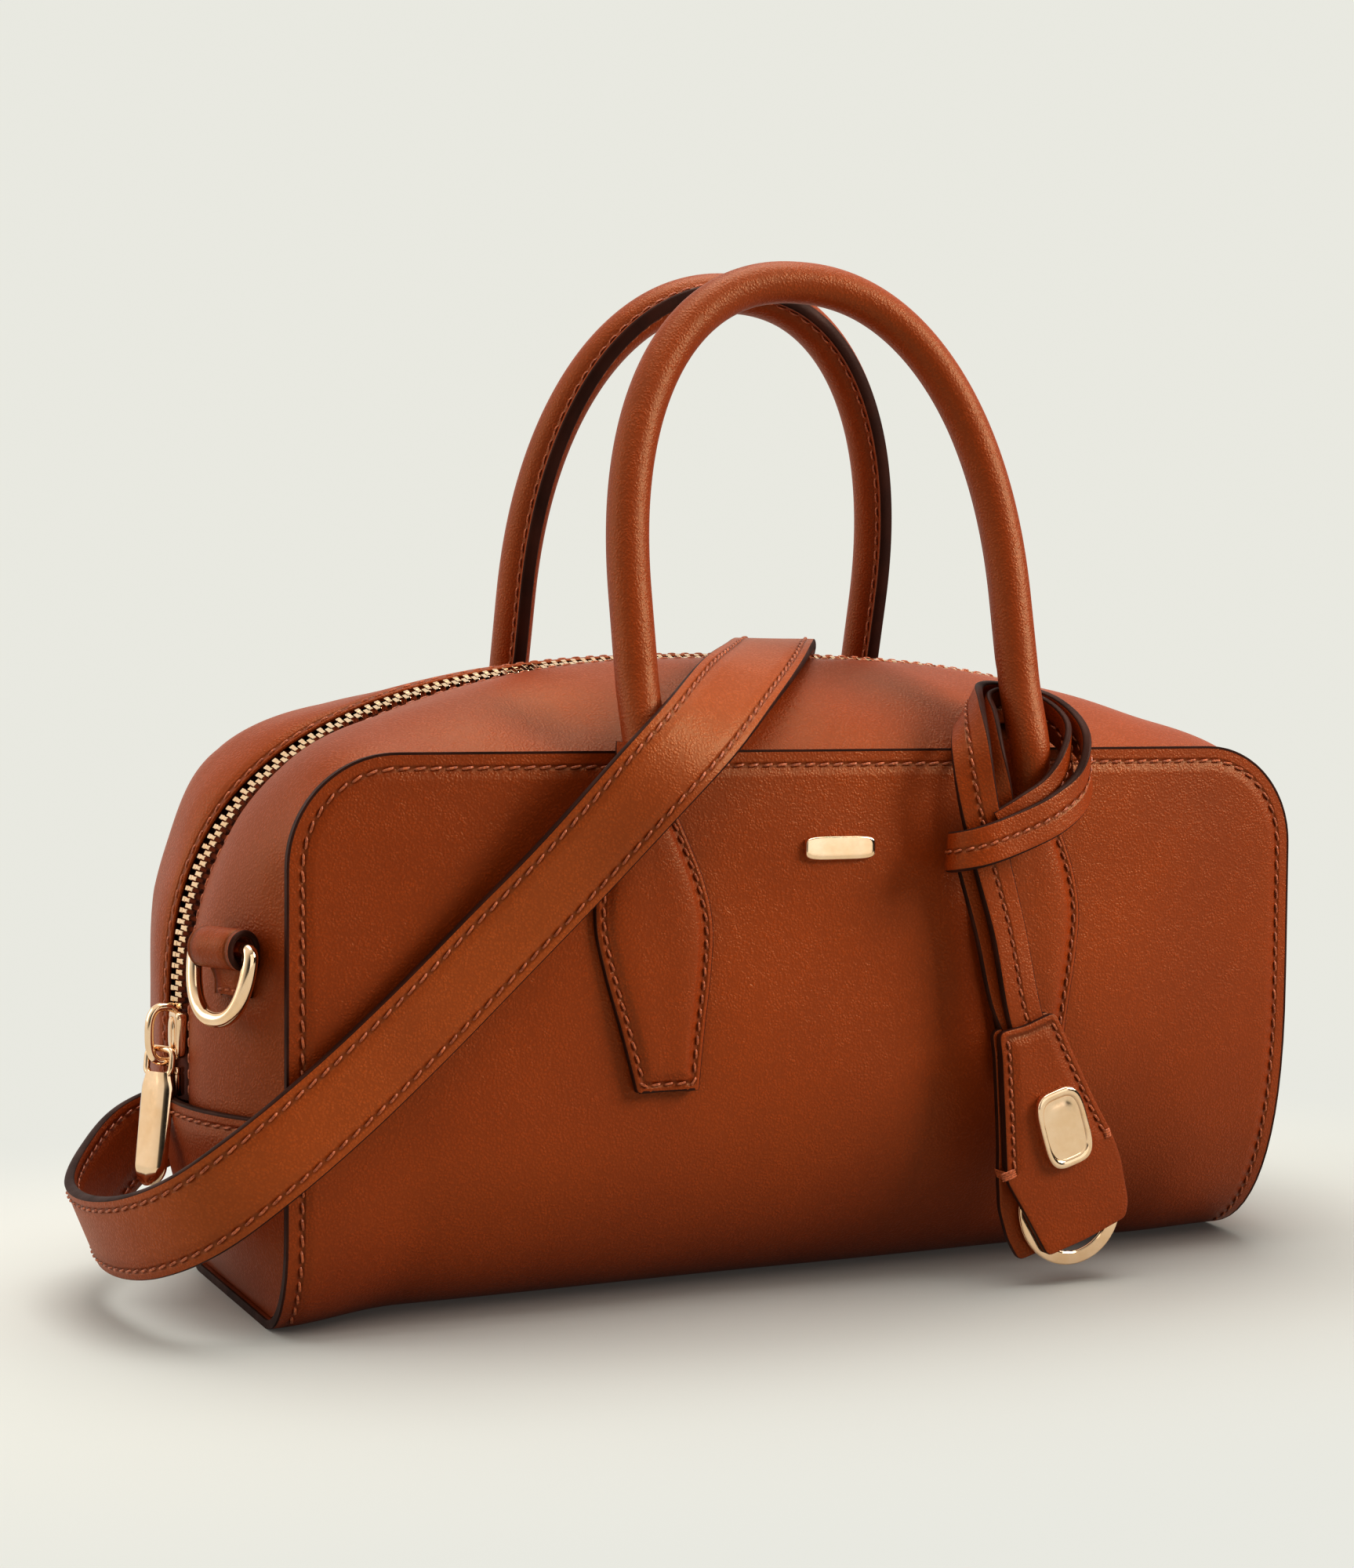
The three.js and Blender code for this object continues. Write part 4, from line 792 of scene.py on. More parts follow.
def buildZip():
    s, y = np.meshgrid(np.linspace(-3, 3, 241), np.linspace(-1, 1, 17) * zipper["tapeHalf"], indexing="ij")
    grid = zipPath(s, zipper["under"] - y * zipTilt["sine"])
    grid[..., 1] = y
    run = np.concatenate([[0], np.cumsum(np.linalg.norm(np.diff(grid[:, 8], axis=0), axis=1))])
    runs = {"along": np.tile(np.repeat(run, 17), 2), "across": np.tile(y.ravel(), 2)}
    facing = np.sign(gridNormals(grid)[120, 8, 2])
    woven = wall(grid, zipper["tapeThick"], facing, edgeMark=0)
    putPiece("zipTape", [woven], [tape], slot="tape", stands=["zip_tape"], runs=runs)
    start = -(2 + (band["hip"] - zipper["leftEnd"]) / (band["hip"] - band["foot"]))
    depth = zipper["under"] - body["gap"] - zipper["toothHigh"] / 2 - zipper["proud"]
    line = zipPath(np.linspace(start, 2.98, 900), depth)
    teeth = []
    for side, offset in ((-1, 0.25), (1, 0.75)):
        places = walk(line, zipper["toothPitch"], offset=offset)[0]
        forward = headings(places)
        across = np.tile([0.0, 1.0, 0.0], (len(places), 1))
        rise = np.cross(forward, across)
        rise = rise * np.sign(rise[len(rise) // 2, 2])
        across, rise = unit(across + rise * zipTilt["sine"]), unit(rise - across * zipTilt["sine"])
        spots = places + across * (side * zipper["toothShift"] + zipper["chainShift"])
        teeth.append(repeat(toothShape(), spots, forward * -side, across * -side, rise))
    putPiece("zipTeeth", teeth, [gold], slot="gold", stands=["zip_chain"], sharp=30)


slider = {"seat": 163.4, "height": 72.0, "half": np.array([1.6, 4.4, 6.2]), "crownOut": 3.0,
          "crownHalf": np.array([1.1, 2.1, 4.6]), "crownUp": 0.2}
bail = {"x": 168.4, "z": 72.1, "halfX": 4.3, "halfZ": 7.2, "square": 0.72, "wire": 1.2, "flat": 1.15}
endStop = {"radius": 2.1, "length": 7.8, "z": 59.6}


def roundBlock(centre, half, square, taper=0.0, rows=24, sides=40):
    # superellipsoid, narrower towards its foot
    e = np.linspace(-np.pi / 2, np.pi / 2, rows + 2)[1:-1, None]
    w = fullTurn(sides)
    z = signedPower(np.sin(e), square) * half[2] + 0 * w
    wide = signedPower(np.cos(e), square) * (1 + taper * z / half[2])
    x, y = half[0] * wide * signedPower(np.cos(w), square), half[1] * wide * signedPower(np.sin(w), square)
    return loft(np.asarray(centre) + np.stack([x, y, z], -1))


def ovalPath(centre, axisA, axisB, a, b, count=64, power=1.0):  # ellipse, or squarer for a power below 1
    t = fullTurn(count)[:, None]
    ca, sa = signedPower(np.cos(t), power), signedPower(np.sin(t), power)
    return np.asarray(centre) + a * ca * np.asarray(axisA) + b * sa * np.asarray(axisB)


def buildSlider():
    seat, height = slider["seat"], slider["height"]
    plate = roundBlock((-(seat + slider["half"][0]), 0, height), slider["half"], 0.3, 0.12)
    middle = (-(seat + slider["crownOut"]), 0, height + slider["crownUp"])
    crown = roundBlock(middle, slider["crownHalf"], 0.6)
    middle = (-bail["x"], 0, bail["z"])
    oval = ovalPath(middle, (1, 0, 0), up, bail["halfX"], bail["halfZ"], 72, bail["square"])
    loop = tube(oval, bail["wire"], np.array([0.0, 1.0, 0.0]), flat=bail["flat"])
    putPiece("zipSlider", [plate, crown, loop], [gold], slot="gold", stands=["zip_slider"])
    # end stop: a pin with rounded ends and a groove near its top
    r, h = endStop["radius"], endStop["length"] / 2
    rows = [(-h, 0.6 * r), (-h + 0.1, 0.9 * r), (-h + 0.4, r), (h - 2.1, r), (h - 1.9, 0.86 * r),
            (h - 1.7, 0.86 * r), (h - 1.5, r), (h - 0.4, r), (h - 0.1, 0.9 * r), (h, 0.6 * r)]
    stop = turned(np.array([-(seat + r), 0, endStop["z"]]), up, rows)
    putPiece("zipEndStop", [stop], [gold], slot="gold", stands=["zip_end_stop"], sharp=35)


pull = {"turn": 35.0, "tilt": 8.0, "eye": np.array([-169.6, 0, 68.4]), "head": 4.3, "eyeDepth": 7.0,
        "wire": 0.9, "neck": 4.3, "half": 5.2, "start": 6.1, "widenOver": 4.5, "length": 35.8, "thick": 1.5}


def buildPull():
    turn, tilt = np.radians(pull["turn"]), np.radians(pull["tilt"])
    across = np.array([np.sin(turn), -np.cos(turn), 0])
    away = np.array([-np.cos(turn), -np.sin(turn), 0])
    rise = up * np.cos(tilt) - away * np.sin(tilt)
    face = np.cross(across, rise)
    forkMiddle = pull["eye"] - rise * pull["eyeDepth"] / 2
    oval = ovalPath(forkMiddle, across, rise, pull["head"], pull["eyeDepth"] / 2, 64, 0.5)
    fork = tube(oval, pull["wire"], face)
    end = pull["length"] - pull["half"]
    straight = np.linspace(pull["start"], end, 40)
    bend = end + pull["half"] * np.sin(np.linspace(0, np.pi / 2, 16))[1:-1]
    down = np.concatenate([straight, bend])
    half = mix(pull["neck"], pull["half"], ease(down, pull["start"], pull["widenOver"]))
    half = np.where(down > end, np.sqrt(np.maximum(pull["half"] ** 2 - (down - end) ** 2, 0.01)), half)
    # section: flat face, a broad bevel at each side and a flat back
    shape = np.array([[-1, -0.5], [-1, 0.05], [-0.97, 0.2], [-0.74, 0.92], [-0.67, 1.0], [0, 1.04],
                      [0.67, 1.0], [0.74, 0.92], [0.97, 0.2], [1, 0.05], [1, -0.5], [0.94, -0.62],
                      [0, -0.66], [-0.94, -0.62]])
    low = 1 - 0.35 * ease(down, end, pull["half"])
    rings = pull["eye"] - rise * down[:, None, None]
    rings = rings + across * (half[:, None] * shape[:, 0])[..., None]
    rings = rings - face * (low[:, None] * shape[:, 1] * pull["thick"])[..., None] * np.sign(face @ -away)
    putPiece("zipPull", [fork, loft(rings)], [gold], body="pull", slot="gold", stands=["zip_pull"], sharp=26)


buildZip()
buildSlider()
buildPull()
print("zip done")


# rolled handles with a stitched fin, and their padded tabs

handle = {"half": 57.6, "radius": 5.7, "power": 2.2, "spring": 188.0, "foot": 147.0, "tuckOver": 20.0,
          "low": 124.0, "flatOver": 25.0, "flatShare": 0.5, "finWidth": 4.4, "finHeight": 3.4,
          "finStart": 158.0, "finOver": 17.0}
handles = {"front": {"side": -1, "centre": 0.6, "apex": 274.8, "lean": 28.0, "tuck": 2.0,
                     "drift": {-1: 8.2, 1: -4.0}},
           "back": {"side": 1, "centre": 1.0, "apex": 277.0, "lean": 34.0, "tuck": 9.0,
                    "drift": {-1: 8.2, 1: 8.2}}}
tab = {"z": np.array([58.4, 63, 76, 90, 102, 113, 123, 132, 141, 150]),
       "half": np.array([8.7, 9.5, 12, 14.9, 16.4, 15, 11.8, 8.6, 6.6, 5.8]),
       "crown": np.array([2.3, 3.2, 3.9, 4.2, 4.4, 4.8, 5.2, 5.6, 6, 6.2]), "rim": 2.2,
       "rimWidth": 3.4, "stitchInset": 2.0, "sewnTo": 138.0, "blend": 1.6, "edgeRound": 0.8,
       "humpFrom": 118.0, "humpOver": 12.0, "humpSink": 0.35, "endFrom": 143.0, "endOver": 7.0, "endDip": 1.1}


def tabShift(h, leg, z):  # drift of a tab towards the middle, growing as it goes down
    drift = np.where(np.asarray(leg) < 0, h["drift"][-1], h["drift"][1])
    return leg * drift * np.maximum(0, handle["foot"] - z) / (handle["foot"] - tab["z"][0])


def rollRadius(z):  # the roll flattens where it runs into its tab
    return handle["radius"] * (1 - handle["flatShare"] * ease(handle["foot"] - z, 0, handle["flatOver"]))


def handleLine(h):  # superellipse arch on two upright legs, leaning in towards the top
    a = np.linspace(0, np.pi, 150)
    archX = handle["half"] * signedPower(np.cos(a), 2 / handle["power"])
    archZ = mix(handle["spring"], h["apex"], np.abs(np.sin(a)) ** (2 / handle["power"]))
    leg = np.linspace(handle["low"], handle["spring"], 40)[:-1]
    x = np.concatenate([np.full(39, handle["half"]), archX, np.full(39, -handle["half"])])
    z = np.concatenate([leg, archZ, leg[::-1]])
    middle = x + h["centre"] - tabShift(h, np.sign(x), z)
    lift = np.maximum(0, (z - handle["foot"]) / (h["apex"] - handle["foot"]))
    swell = puffAt(middle, np.minimum(z, handle["foot"]))
    stand = body["depth"] / 2 + swell + 2 * body["gap"] + rollRadius(z)
    inward = h["lean"] * lift + h["tuck"] * ease(z, handle["foot"], handle["tuckOver"])
    line = np.stack([middle, h["side"] * (stand - inward), z], 1)
    return walk(line, 1.9, offset=0.0)[0]


def handleFrame(h):
    line = handleLine(h)
    forward = headings(line)
    inward = np.array([0.0, -h["side"], 0.0])
    inward = unit(inward - forward * (forward @ inward)[:, None])
    return line, inward, np.cross(forward, inward)


def rolledPart(h):  # circle with a fin on the inner side; the fin's end is painted
    line, inward, across = handleFrame(h)
    radius = rollRadius(line[:, 2])
    rise = ease(line[:, 2], handle["finStart"], handle["finOver"])
    spreadAngle = np.arcsin(handle["finWidth"] / 2 / handle["radius"])
    a = np.linspace(spreadAngle, 2 * np.pi - spreadAngle, 36)
    circle = np.stack([np.cos(a) * radius[:, None], np.sin(a) * radius[:, None]], -1)
    root = radius * np.cos(spreadAngle)
    tip = root + handle["finHeight"] * rise + 0.05
    finHalf = radius * np.sin(spreadAngle) * (1 - 0.12 * rise)
    corner = 0.5 * rise
    high = np.stack([mix(root, tip, 0.35), mix(root, tip, 0.7), tip - corner, tip], 1)
    wide = np.stack([finHalf, finHalf, finHalf, finHalf - corner], 1)
    fin = np.stack([np.hstack([high, high[:, ::-1]]), np.hstack([-wide, wide[:, ::-1]])], -1)
    section = np.concatenate([circle, fin], 1)
    rings = line[:, None] + section[..., :1] * inward[:, None] + section[..., 1:] * across[:, None]
    finned = rise[:, None] > 0.3
    marks = np.zeros((len(line) - 1, section.shape[1]), int)
    marks[:, 38:41] = finned[1:]
    away = np.full(rings.shape[:2], none)
    for k in (37, 36, 35, 42, 43, 0):  # points on the fin's two sides and at its root
        away[:, k] = np.abs(section[:, k, 0] - mix(root, tip, 0.3))
    return loft(rings, marks, 0, seam=np.where(finned, away, none))


def finStitchLines(h):
    line, inward, across = handleFrame(h)
    rise = ease(line[:, 2], handle["finStart"], handle["finOver"])
    keep = rise > 0.55
    root = handle["radius"] * np.cos(np.arcsin(handle["finWidth"] / 2 / handle["radius"]))
    at = line + inward * (root + 0.3 * handle["finHeight"] * rise)[:, None]
    rows = []
    for sign in (-1, 1):
        spot = at + across * sign * handle["finWidth"] / 2
        rows.append(stitches(spot[keep], (across * sign)[keep], pitch=4.4, length=3.3, lift=-0.05))
    return rows


def tabHalf(z):
    order = np.interp(z, tab["z"], np.arange(len(tab["z"])))
    return through(np.stack([tab["half"], tab["crown"]], 1), np.ravel(order), tab["z"])


def tabSurface(h, leg, z, q):  # q runs over the width from -1 to 1; smooth maximum of the pad and the roll
    shape = tabHalf(z[:, 0])
    half, crown = shape[:, :1], shape[:, 1:]
    middle = leg * handle["half"] + h["centre"] - tabShift(h, leg, z)
    x = middle + q * half
    floor = body["depth"] / 2 + puffAt(x, z) + body["gap"]
    edge = half * (1 - np.abs(q))
    inside = np.clip((half - edge) / np.maximum(half - tab["rimWidth"], 1), 0, 1)
    pad = tab["rim"] + (crown - tab["rim"]) * (1 - inside**3) ** 0.7
    r = rollRadius(z)
    hump = body["gap"] + r + np.sqrt(np.maximum(r**2 - (x - middle) ** 2, 0)) - tab["humpSink"]
    hump = np.where(np.abs(x - middle) < r, hump, 0) * ease(z, tab["humpFrom"], tab["humpOver"])
    soft = tab["blend"] * (1 - ease(z, tab["sewnTo"], 10))
    high = 0.5 * (pad + hump + np.sqrt((pad - hump) ** 2 + soft**2)) - 0.5 * soft * (1 - inside**2)
    high = high - tab["endDip"] * ease(z, tab["endFrom"], tab["endOver"])
    dip = 0.5 * np.clip(1 - edge / tab["edgeRound"], 0, 1) ** 2
    return x, floor, high - dip, edge


def tabPart(h, leg):
    q = signedPower(np.linspace(-1, 1, 49), 0.85)
    z = np.broadcast_to(np.linspace(tab["z"][0], tab["z"][-1], 84)[:, None], (84, 49))
    x, floor, high, edge = tabSurface(h, leg, z, q[None] + 0 * z)
    outer = np.stack([x, h["side"] * (floor + high), z], -1)
    inner = np.stack([x, h["side"] * floor, z], -1)
    seam = np.where(z < tab["sewnTo"], np.minimum(edge, z - tab["z"][0]) - tab["stitchInset"], none)
    return shell(outer, inner, seam), outer


def tabSeam(h, leg):  # stitch line inside the rim: down one side, across the foot, up the other
    z = np.linspace(tab["sewnTo"] - 2, tab["z"][0] + tab["stitchInset"], 60)[:, None]
    half = tabHalf(z[:, 0])[:, :1]
    q = 1 - tab["stitchInset"] / half
    foot = np.linspace(1, -1, 14)[1:-1, None]
    lowZ = np.full((12, 1), z[-1, 0])
    z = np.concatenate([z, lowZ, z[::-1]])
    q = np.concatenate([q, foot * q[-1], -q[::-1]])
    x, floor, high, _ = tabSurface(h, leg, z, q)
    return np.concatenate([x, h["side"] * (floor + high), z], 1)


def buildHandles():
    for name, h in handles.items():
        parts, sewn, beads = [rolledPart(h)], finStitchLines(h), []
        facing = np.array([0.0, h["side"], 0.0])
        for leg in (-1, 1):
            part, outer = tabPart(h, leg)
            parts.append(part)
            line = tabSeam(h, leg)
            sewn.append(stitches(line, facing, pitch=3.6, length=2.7))
            border = np.concatenate([outer[-12:0:-1, 0], outer[0], outer[1:-12, -1]])[::-h["side"]]
            beads.append(edgeBead(border, facing, tab["rim"] - 0.4, closed=False, proud=0.25, gap=1.2))
            sewn.append(barTack(line[2] + facing * 0.1, (1, 0, 0.25), facing, 4.2, 4, 0.34))
        putPiece(name + "Handle", parts, skins, stands=[name + "_handle"])
        putPiece(name + "HandleStitches", sewn, [thread])
        putPiece(name + "TabEdges", beads, [edgePaint])


buildHandles()
print("handles done")


# straps: a flat section with painted edges carried along a line

def stripSection(width, thick, crown=0.12, edge=0.55):  # rounded rectangle, a little fuller in the middle
    w, h = width / 2, thick / 2
    flat = np.linspace(1, -1, 15) * (w - edge)
    top = np.stack([flat, h - crown * (flat / w) ** 4], 1)
    a = np.linspace(np.pi / 2, 3 * np.pi / 2, 9)[1:-1]
    left = np.stack([-(w - edge) + edge * np.cos(a), (h - crown) * np.sin(a)], 1)
    return np.concatenate([top, left, -top, -left])


def stripMarks(count):  # faces of the two flat sides are leather, the edges are paint
    return np.tile(np.concatenate([np.zeros(14, int), np.ones(8, int)] * 2), (count, 1))


def routeFrames(rows, perRow):  # centre line, width direction and face direction along a route
    rows = np.asarray(rows, float)
    at = np.linspace(0, len(rows) - 1, (len(rows) - 1) * perRow + 1)
    line = through(rows[:, :3], at, chordKnots(rows[:, :3]))
    face = through(rows[:, 3:], at)
    line, face = walk(line, 2.0, face, offset=0.0)
    forward = headings(line)
    across = unit(np.cross(face, forward))
    return line, across, unit(np.cross(forward, across))


def stripPart(frames, width, thick, inset, taper=1.0):  # taper narrows it from place to place
    line, across, rise = frames
    section = stripSection(width, thick)
    rings = carry(section, line, across * taper, rise)
    seam = np.tile(width / 2 - np.abs(section[:, 0]) - inset, (len(line), 1))
    return loft(rings, stripMarks(len(line) - 1), 1, seam=seam)


def stripStitches(frames, width, thick, inset, faces=(1, -1), lanes=(-1, 1), **change):
    line, across, rise = frames
    rows = []
    for face in faces:
        for lane in lanes:
            spot = line + across * lane * (width / 2 - inset) + rise * face * (thick / 2 - 0.08)
            rows.append(stitches(spot[2:-2], (rise * face)[2:-2], **change))
    return rows


# ring tabs and rings

ringSet = {"half": 10.6, "drop": 18.0, "square": 0.82, "wire": 2.05, "cornerRounds": 14, "play": 0.95,
           "tilt": {-1: 8.0, 1: 55.0}, "tabWidth": 16.5, "taper": 0.34, "leather": 2.0, "tail": 12.5,
           "stitchInset": 2.0, "z": 98.3, "from": 0.16, "to": 0.5}


def ringFrame(end):  # seat on the band's outer face, with the directions along it and out of it
    shape = bandShape["front" if end < 0 else "back"]
    v = np.linspace(ringSet["from"], ringSet["to"], 9)
    s = np.full(9, end * (2 + (band["hip"] - ringSet["z"]) / (band["hip"] - band["foot"])))
    points = bandPoint(shape, s, v)
    along = points[8] - points[0]
    along[2] = 0
    along = unit(along) * np.sign(along[1])
    out = np.cross(along, [0, 0, end])
    middle = (points[0] + points[8]) / 2
    middle[2] = ringSet["z"]
    return out, along, middle + out * (((points - middle) @ out).max() + body["gap"])


def loopRadius():
    return ringSet["wire"] + body["gap"] + ringSet["play"] + ringSet["leather"]


def ringPoint(end, angle, square=1.0):  # half ellipse below the bar, fuller for a square below 1
    out, along, seat = ringFrame(end)
    lean = np.radians(ringSet["tilt"][end])
    hang = -up * np.cos(lean) + out * np.sin(lean)
    side = along * end
    centre = seat + out * loopRadius()
    half, drop = ringSet["half"] * side, ringSet["drop"] * hang
    angle = angle[..., None]
    place = centre + signedPower(np.cos(angle), square) * half + np.abs(np.sin(angle)) ** square * drop
    tangent = np.cos(angle) * drop - np.sin(angle) * half
    return place, unit(tangent), unit(np.cross(along, hang))


def buildRings():
    for name, end in (("left", -1), ("right", 1)):
        out, along, seat = ringFrame(end)
        outer, thick = loopRadius(), ringSet["leather"]
        mid = outer - thick / 2
        last = np.arccos((1.5 * thick - outer) / mid)
        a = np.linspace(np.pi, -last, 60)
        # up behind the ring, over its bar and down again, with both ends sewn on below
        loop = outer + mid * np.cos(a[1:]), mid * np.sin(a[1:])
        flatX = np.concatenate([np.full(12, thick / 2), loop[0], np.full(10, 1.5 * thick)])
        flatZ = np.concatenate([np.linspace(-ringSet["tail"], 0, 12), loop[1],
                                np.linspace(loop[1][-1], -ringSet["tail"], 11)[1:]])
        line = seat + flatX[:, None] * out + flatZ[:, None] * up
        line = walk(line, 0.7, offset=0.0)[0]
        forward = headings(line)
        across = np.tile(along, (len(line), 1))
        frames = (line, across, unit(np.cross(forward, across)))
        taper = 1 - ringSet["taper"] * ease(seat[2] - line[:, 2:], 3, 6)
        part = stripPart(frames, ringSet["tabWidth"], thick * 0.94, 1.6, taper)
        putPiece("ringTab" + name.title(), [part], skins, stands=["ring_tab_" + name])
        low = seat + out * (2 * thick - 0.1) - up * (ringSet["tail"] - ringSet["stitchInset"])
        wide = ringSet["tabWidth"] / 2 * (1 - ringSet["taper"]) - 1.4
        foot = low + np.linspace(-wide, wide, 20)[:, None] * along
        putPiece("ringTabStitches" + name.title(), [stitches(foot, out, pitch=2.9, length=2.2)], [thread])
        arc = ringPoint(end, np.linspace(0, np.pi, 90), ringSet["square"])[0]
        bar = mix(arc[-1], arc[0], np.linspace(0, 1, 20)[1:-1, None])
        line = soften(walk(np.vstack([arc, bar]), 0.6, closed=True, offset=0.0)[0], ringSet["cornerRounds"])
        wire = tube(line, ringSet["wire"], ringPoint(end, np.zeros(1))[2], sides=20)
        putPiece("dRing" + name.title(), [wire], [gold], body="left_ring" if end < 0 else "bag", slot="gold",
                 stands=["d_ring_" + name])


buildRings()
print("rings done")


# shoulder strap with its two end clasps

strap = {"width": 23.0, "thick": 3.0, "stitchInset": 3.0}
clasp = {"wire": 1.6, "ring": 6.6, "slack": 1.2, "neck": 9.0, "bar": 2.4, "innerWidth": 24.4,
         "innerLength": 5.2}
clasps = {"Upper": {"angle": 40.0, "pull": (-0.25, 0.85, 0.46)},
          "Lower": {"angle": 69.0, "pull": (-0.2, 0.82, -0.54)}}
fold = {"clear": 0.6, "near": 5.0, "nearLift": 2.6, "far": 10.0, "farLift": 1.9}
# route from the upper clasp over the back, top and front and round the left end: place, then face direction
strapRoute = [
    (141, 83.5, 110.5, 0.05, 1, 0.05), (122, 76, 115, -0.3, 1, 0), (102, 67, 122, -0.25, 1, 0.05),
    (82, 66, 130, 0, 1, 0.1), (62, 70.5, 140.5, 0.1, 1, 0.15), (47, 68.5, 153.5, 0.1, 1, 0.3),
    (33, 48, 167.5, 0, 0.55, 0.85), (19, 20, 175, 0, 0.15, 1), (6, -4, 175.6, 0, -0.1, 1),
    (-7, -24, 172.2, -0.05, -0.4, 0.9), (-26.7, -48, 164.4, -0.1, -0.8, 0.6),
    (-45, -64, 152.6, -0.1, -1, 0.25), (-59, -68, 140.6, -0.05, -1, 0.1), (-80, -62.5, 117, 0.05, -1, 0.03),
    (-97, -58.5, 99.2, 0, -1, 0), (-118, -57, 78.9, 0, -1, 0), (-138, -57, 61.5, -0.05, -1, 0),
    (-157.7, -56, 46, -0.2, -1, -0.05), (-172, -49, 34.3, -0.5, -0.85, -0.15),
    (-181.5, -33, 26.4, -0.78, -0.55, -0.27), (-187, -8, 22, -0.91, -0.13, -0.37),
    (-186.5, 15, 22.4, -0.9, 0.25, -0.36), (-178, 36, 27.6, -0.65, 0.7, -0.22),
    (-164.5, 53, 34.8, -0.3, 0.95, -0.08), (-150, 57, 39.5, -0.05, 1, 0), (-132, 57.6, 44.6, 0, 1, 0),
    (-100, 57.2, 50.5, 0, 1, 0), (-66, 61.5, 54, 0, 1, 0), (-34, 60, 56.5, 0, 1, 0), (4, 57.4, 58.5, 0, 1, 0),
    (42, 60, 60, 0, 1, 0), (76, 59.5, 61, 0, 1, 0), (104, 60.5, 61, -0.1, 1, 0), (126, 70, 60.6, -0.4, 1, 0),
    (147, 79, 61.5, -0.1, 1, 0)]


def claspFrame(one):
    place, tangent, _ = ringPoint(1, np.radians([one["angle"]]))
    way = unit(np.array(one["pull"]))
    axis = unit(tangent[0] - way * (tangent[0] @ way))
    centre = place[0] + way * clasp["slack"]
    rise = unit(up - way * way[2])
    outer = unit(np.cross(rise, way))
    start = clasp["ring"] + clasp["neck"]
    bar = centre + way * (start + clasp["bar"] * 1.5 + clasp["innerLength"])
    return way, axis, centre, rise, outer, start, bar


def foldRows(one):  # the strap's end turned round the bar of its clasp
    way, _, _, _, outer, _, bar = claspFrame(one)
    around = clasp["bar"] / 2 + fold["clear"] + strap["thick"] / 2
    turn = np.linspace(np.pi, 0, 5)
    far, high = [fold["far"], fold["near"]], [fold["farLift"], fold["nearLift"]]
    along = np.concatenate([far, -around * np.sin(turn), far[::-1]])
    lift = np.concatenate([[-high[0], -high[1]], around * np.cos(turn), high[::-1]])
    turn = np.concatenate([[np.pi, np.pi], turn, [0, 0]])[:, None]
    face = outer * np.cos(turn) - way * np.sin(turn)
    return np.concatenate([bar + along[:, None] * way + lift[:, None] * outer, face], 1)


def buildStrap():
    rows = np.concatenate([foldRows(clasps["Upper"]), np.array(strapRoute), foldRows(clasps["Lower"])[::-1]])
    frames = routeFrames(rows, 24)
    sizes = strap["width"], strap["thick"], strap["stitchInset"]
    putPiece("shoulderStrap", [stripPart(frames, *sizes)], strapSkins, stands=["shoulder_strap"])
    putPiece("strapStitches", stripStitches(frames, *sizes), [thread])
    print("strap length", round(float(np.linalg.norm(np.diff(frames[0], axis=0), axis=1).sum())), "mm")
    for name, one in clasps.items():
        way, axis, centre, rise, outer, start, _ = claspFrame(one)
        ring, w = clasp["ring"], clasp["wire"]
        hook = tube(ovalPath(centre, way, np.cross(axis, way), ring, ring), w, axis)
        collar = w * 1.35
        neck = turned(centre, way, [(ring - 0.8, w), (ring + 2, w), (ring + 2.4, collar), (ring + 6, collar),
                                    (ring + 6.4, w), (start + 0.8, w)])
        halfA = (clasp["innerWidth"] + clasp["bar"]) / 2
        halfB = (clasp["innerLength"] + clasp["bar"]) / 2
        middle = centre + way * (start + halfB + clasp["bar"] / 2)
        loop = tube(ovalPath(middle, rise, way, halfA, halfB, 96, 0.3), clasp["bar"] / 2, outer)
        putPiece("strapClasp" + name, [hook, neck, loop], [gold], slot="gold",
                 stands=["strap_clasp_" + name.lower()])


buildStrap()
print("strap done")


# hang tag: doubled strap, two layers of leather, a flat key ring and a plain plaque

tagStrap = {"width": 11.0, "thick": 2.6, "stitchInset": 5.5, "innerShare": 0.8,
            "behind": np.array([-3.4, 3.0, 0.0])}
tagSewing = {"pitch": 3.4, "length": 2.6}
tagRoute = [
    (55.3, -66.6, 66, 0, -1, 0), (51.6, -66.6, 78, 0, -1, 0), (48, -65, 98, 0.05, -1, 0),
    (42.5, -64.4, 118, -0.1, -1, 0), (37.5, -66, 134, -0.35, -1, 0.1), (36.5, -64, 147, -0.7, -0.8, 0.2),
    (41, -55, 156.5, -0.9, -0.1, 0.4), (50, -43.5, 160.5, -0.6, 0.7, 0.35), (61, -41, 160, 0.2, 1, 0.3),
    (70.5, -48.5, 157, 0.9, 0.5, 0.25), (74, -60.5, 148.5, 1, -0.25, 0.1), (70, -67, 137.5, 0.65, -0.8, 0.1),
    (60, -70.6, 130.5, 0.2, -1, 0.1), (48, -71, 125.4, -0.05, -1, 0.1), (36.5, -70, 121.6, -0.5, -0.9, 0.1),
    (31.2, -65.8, 120, -1, -0.1, 0.1), (32.6, -60.6, 119.6, -0.7, 0.7, 0.05), (38.5, -58.9, 120, 0, 1, 0.05)]
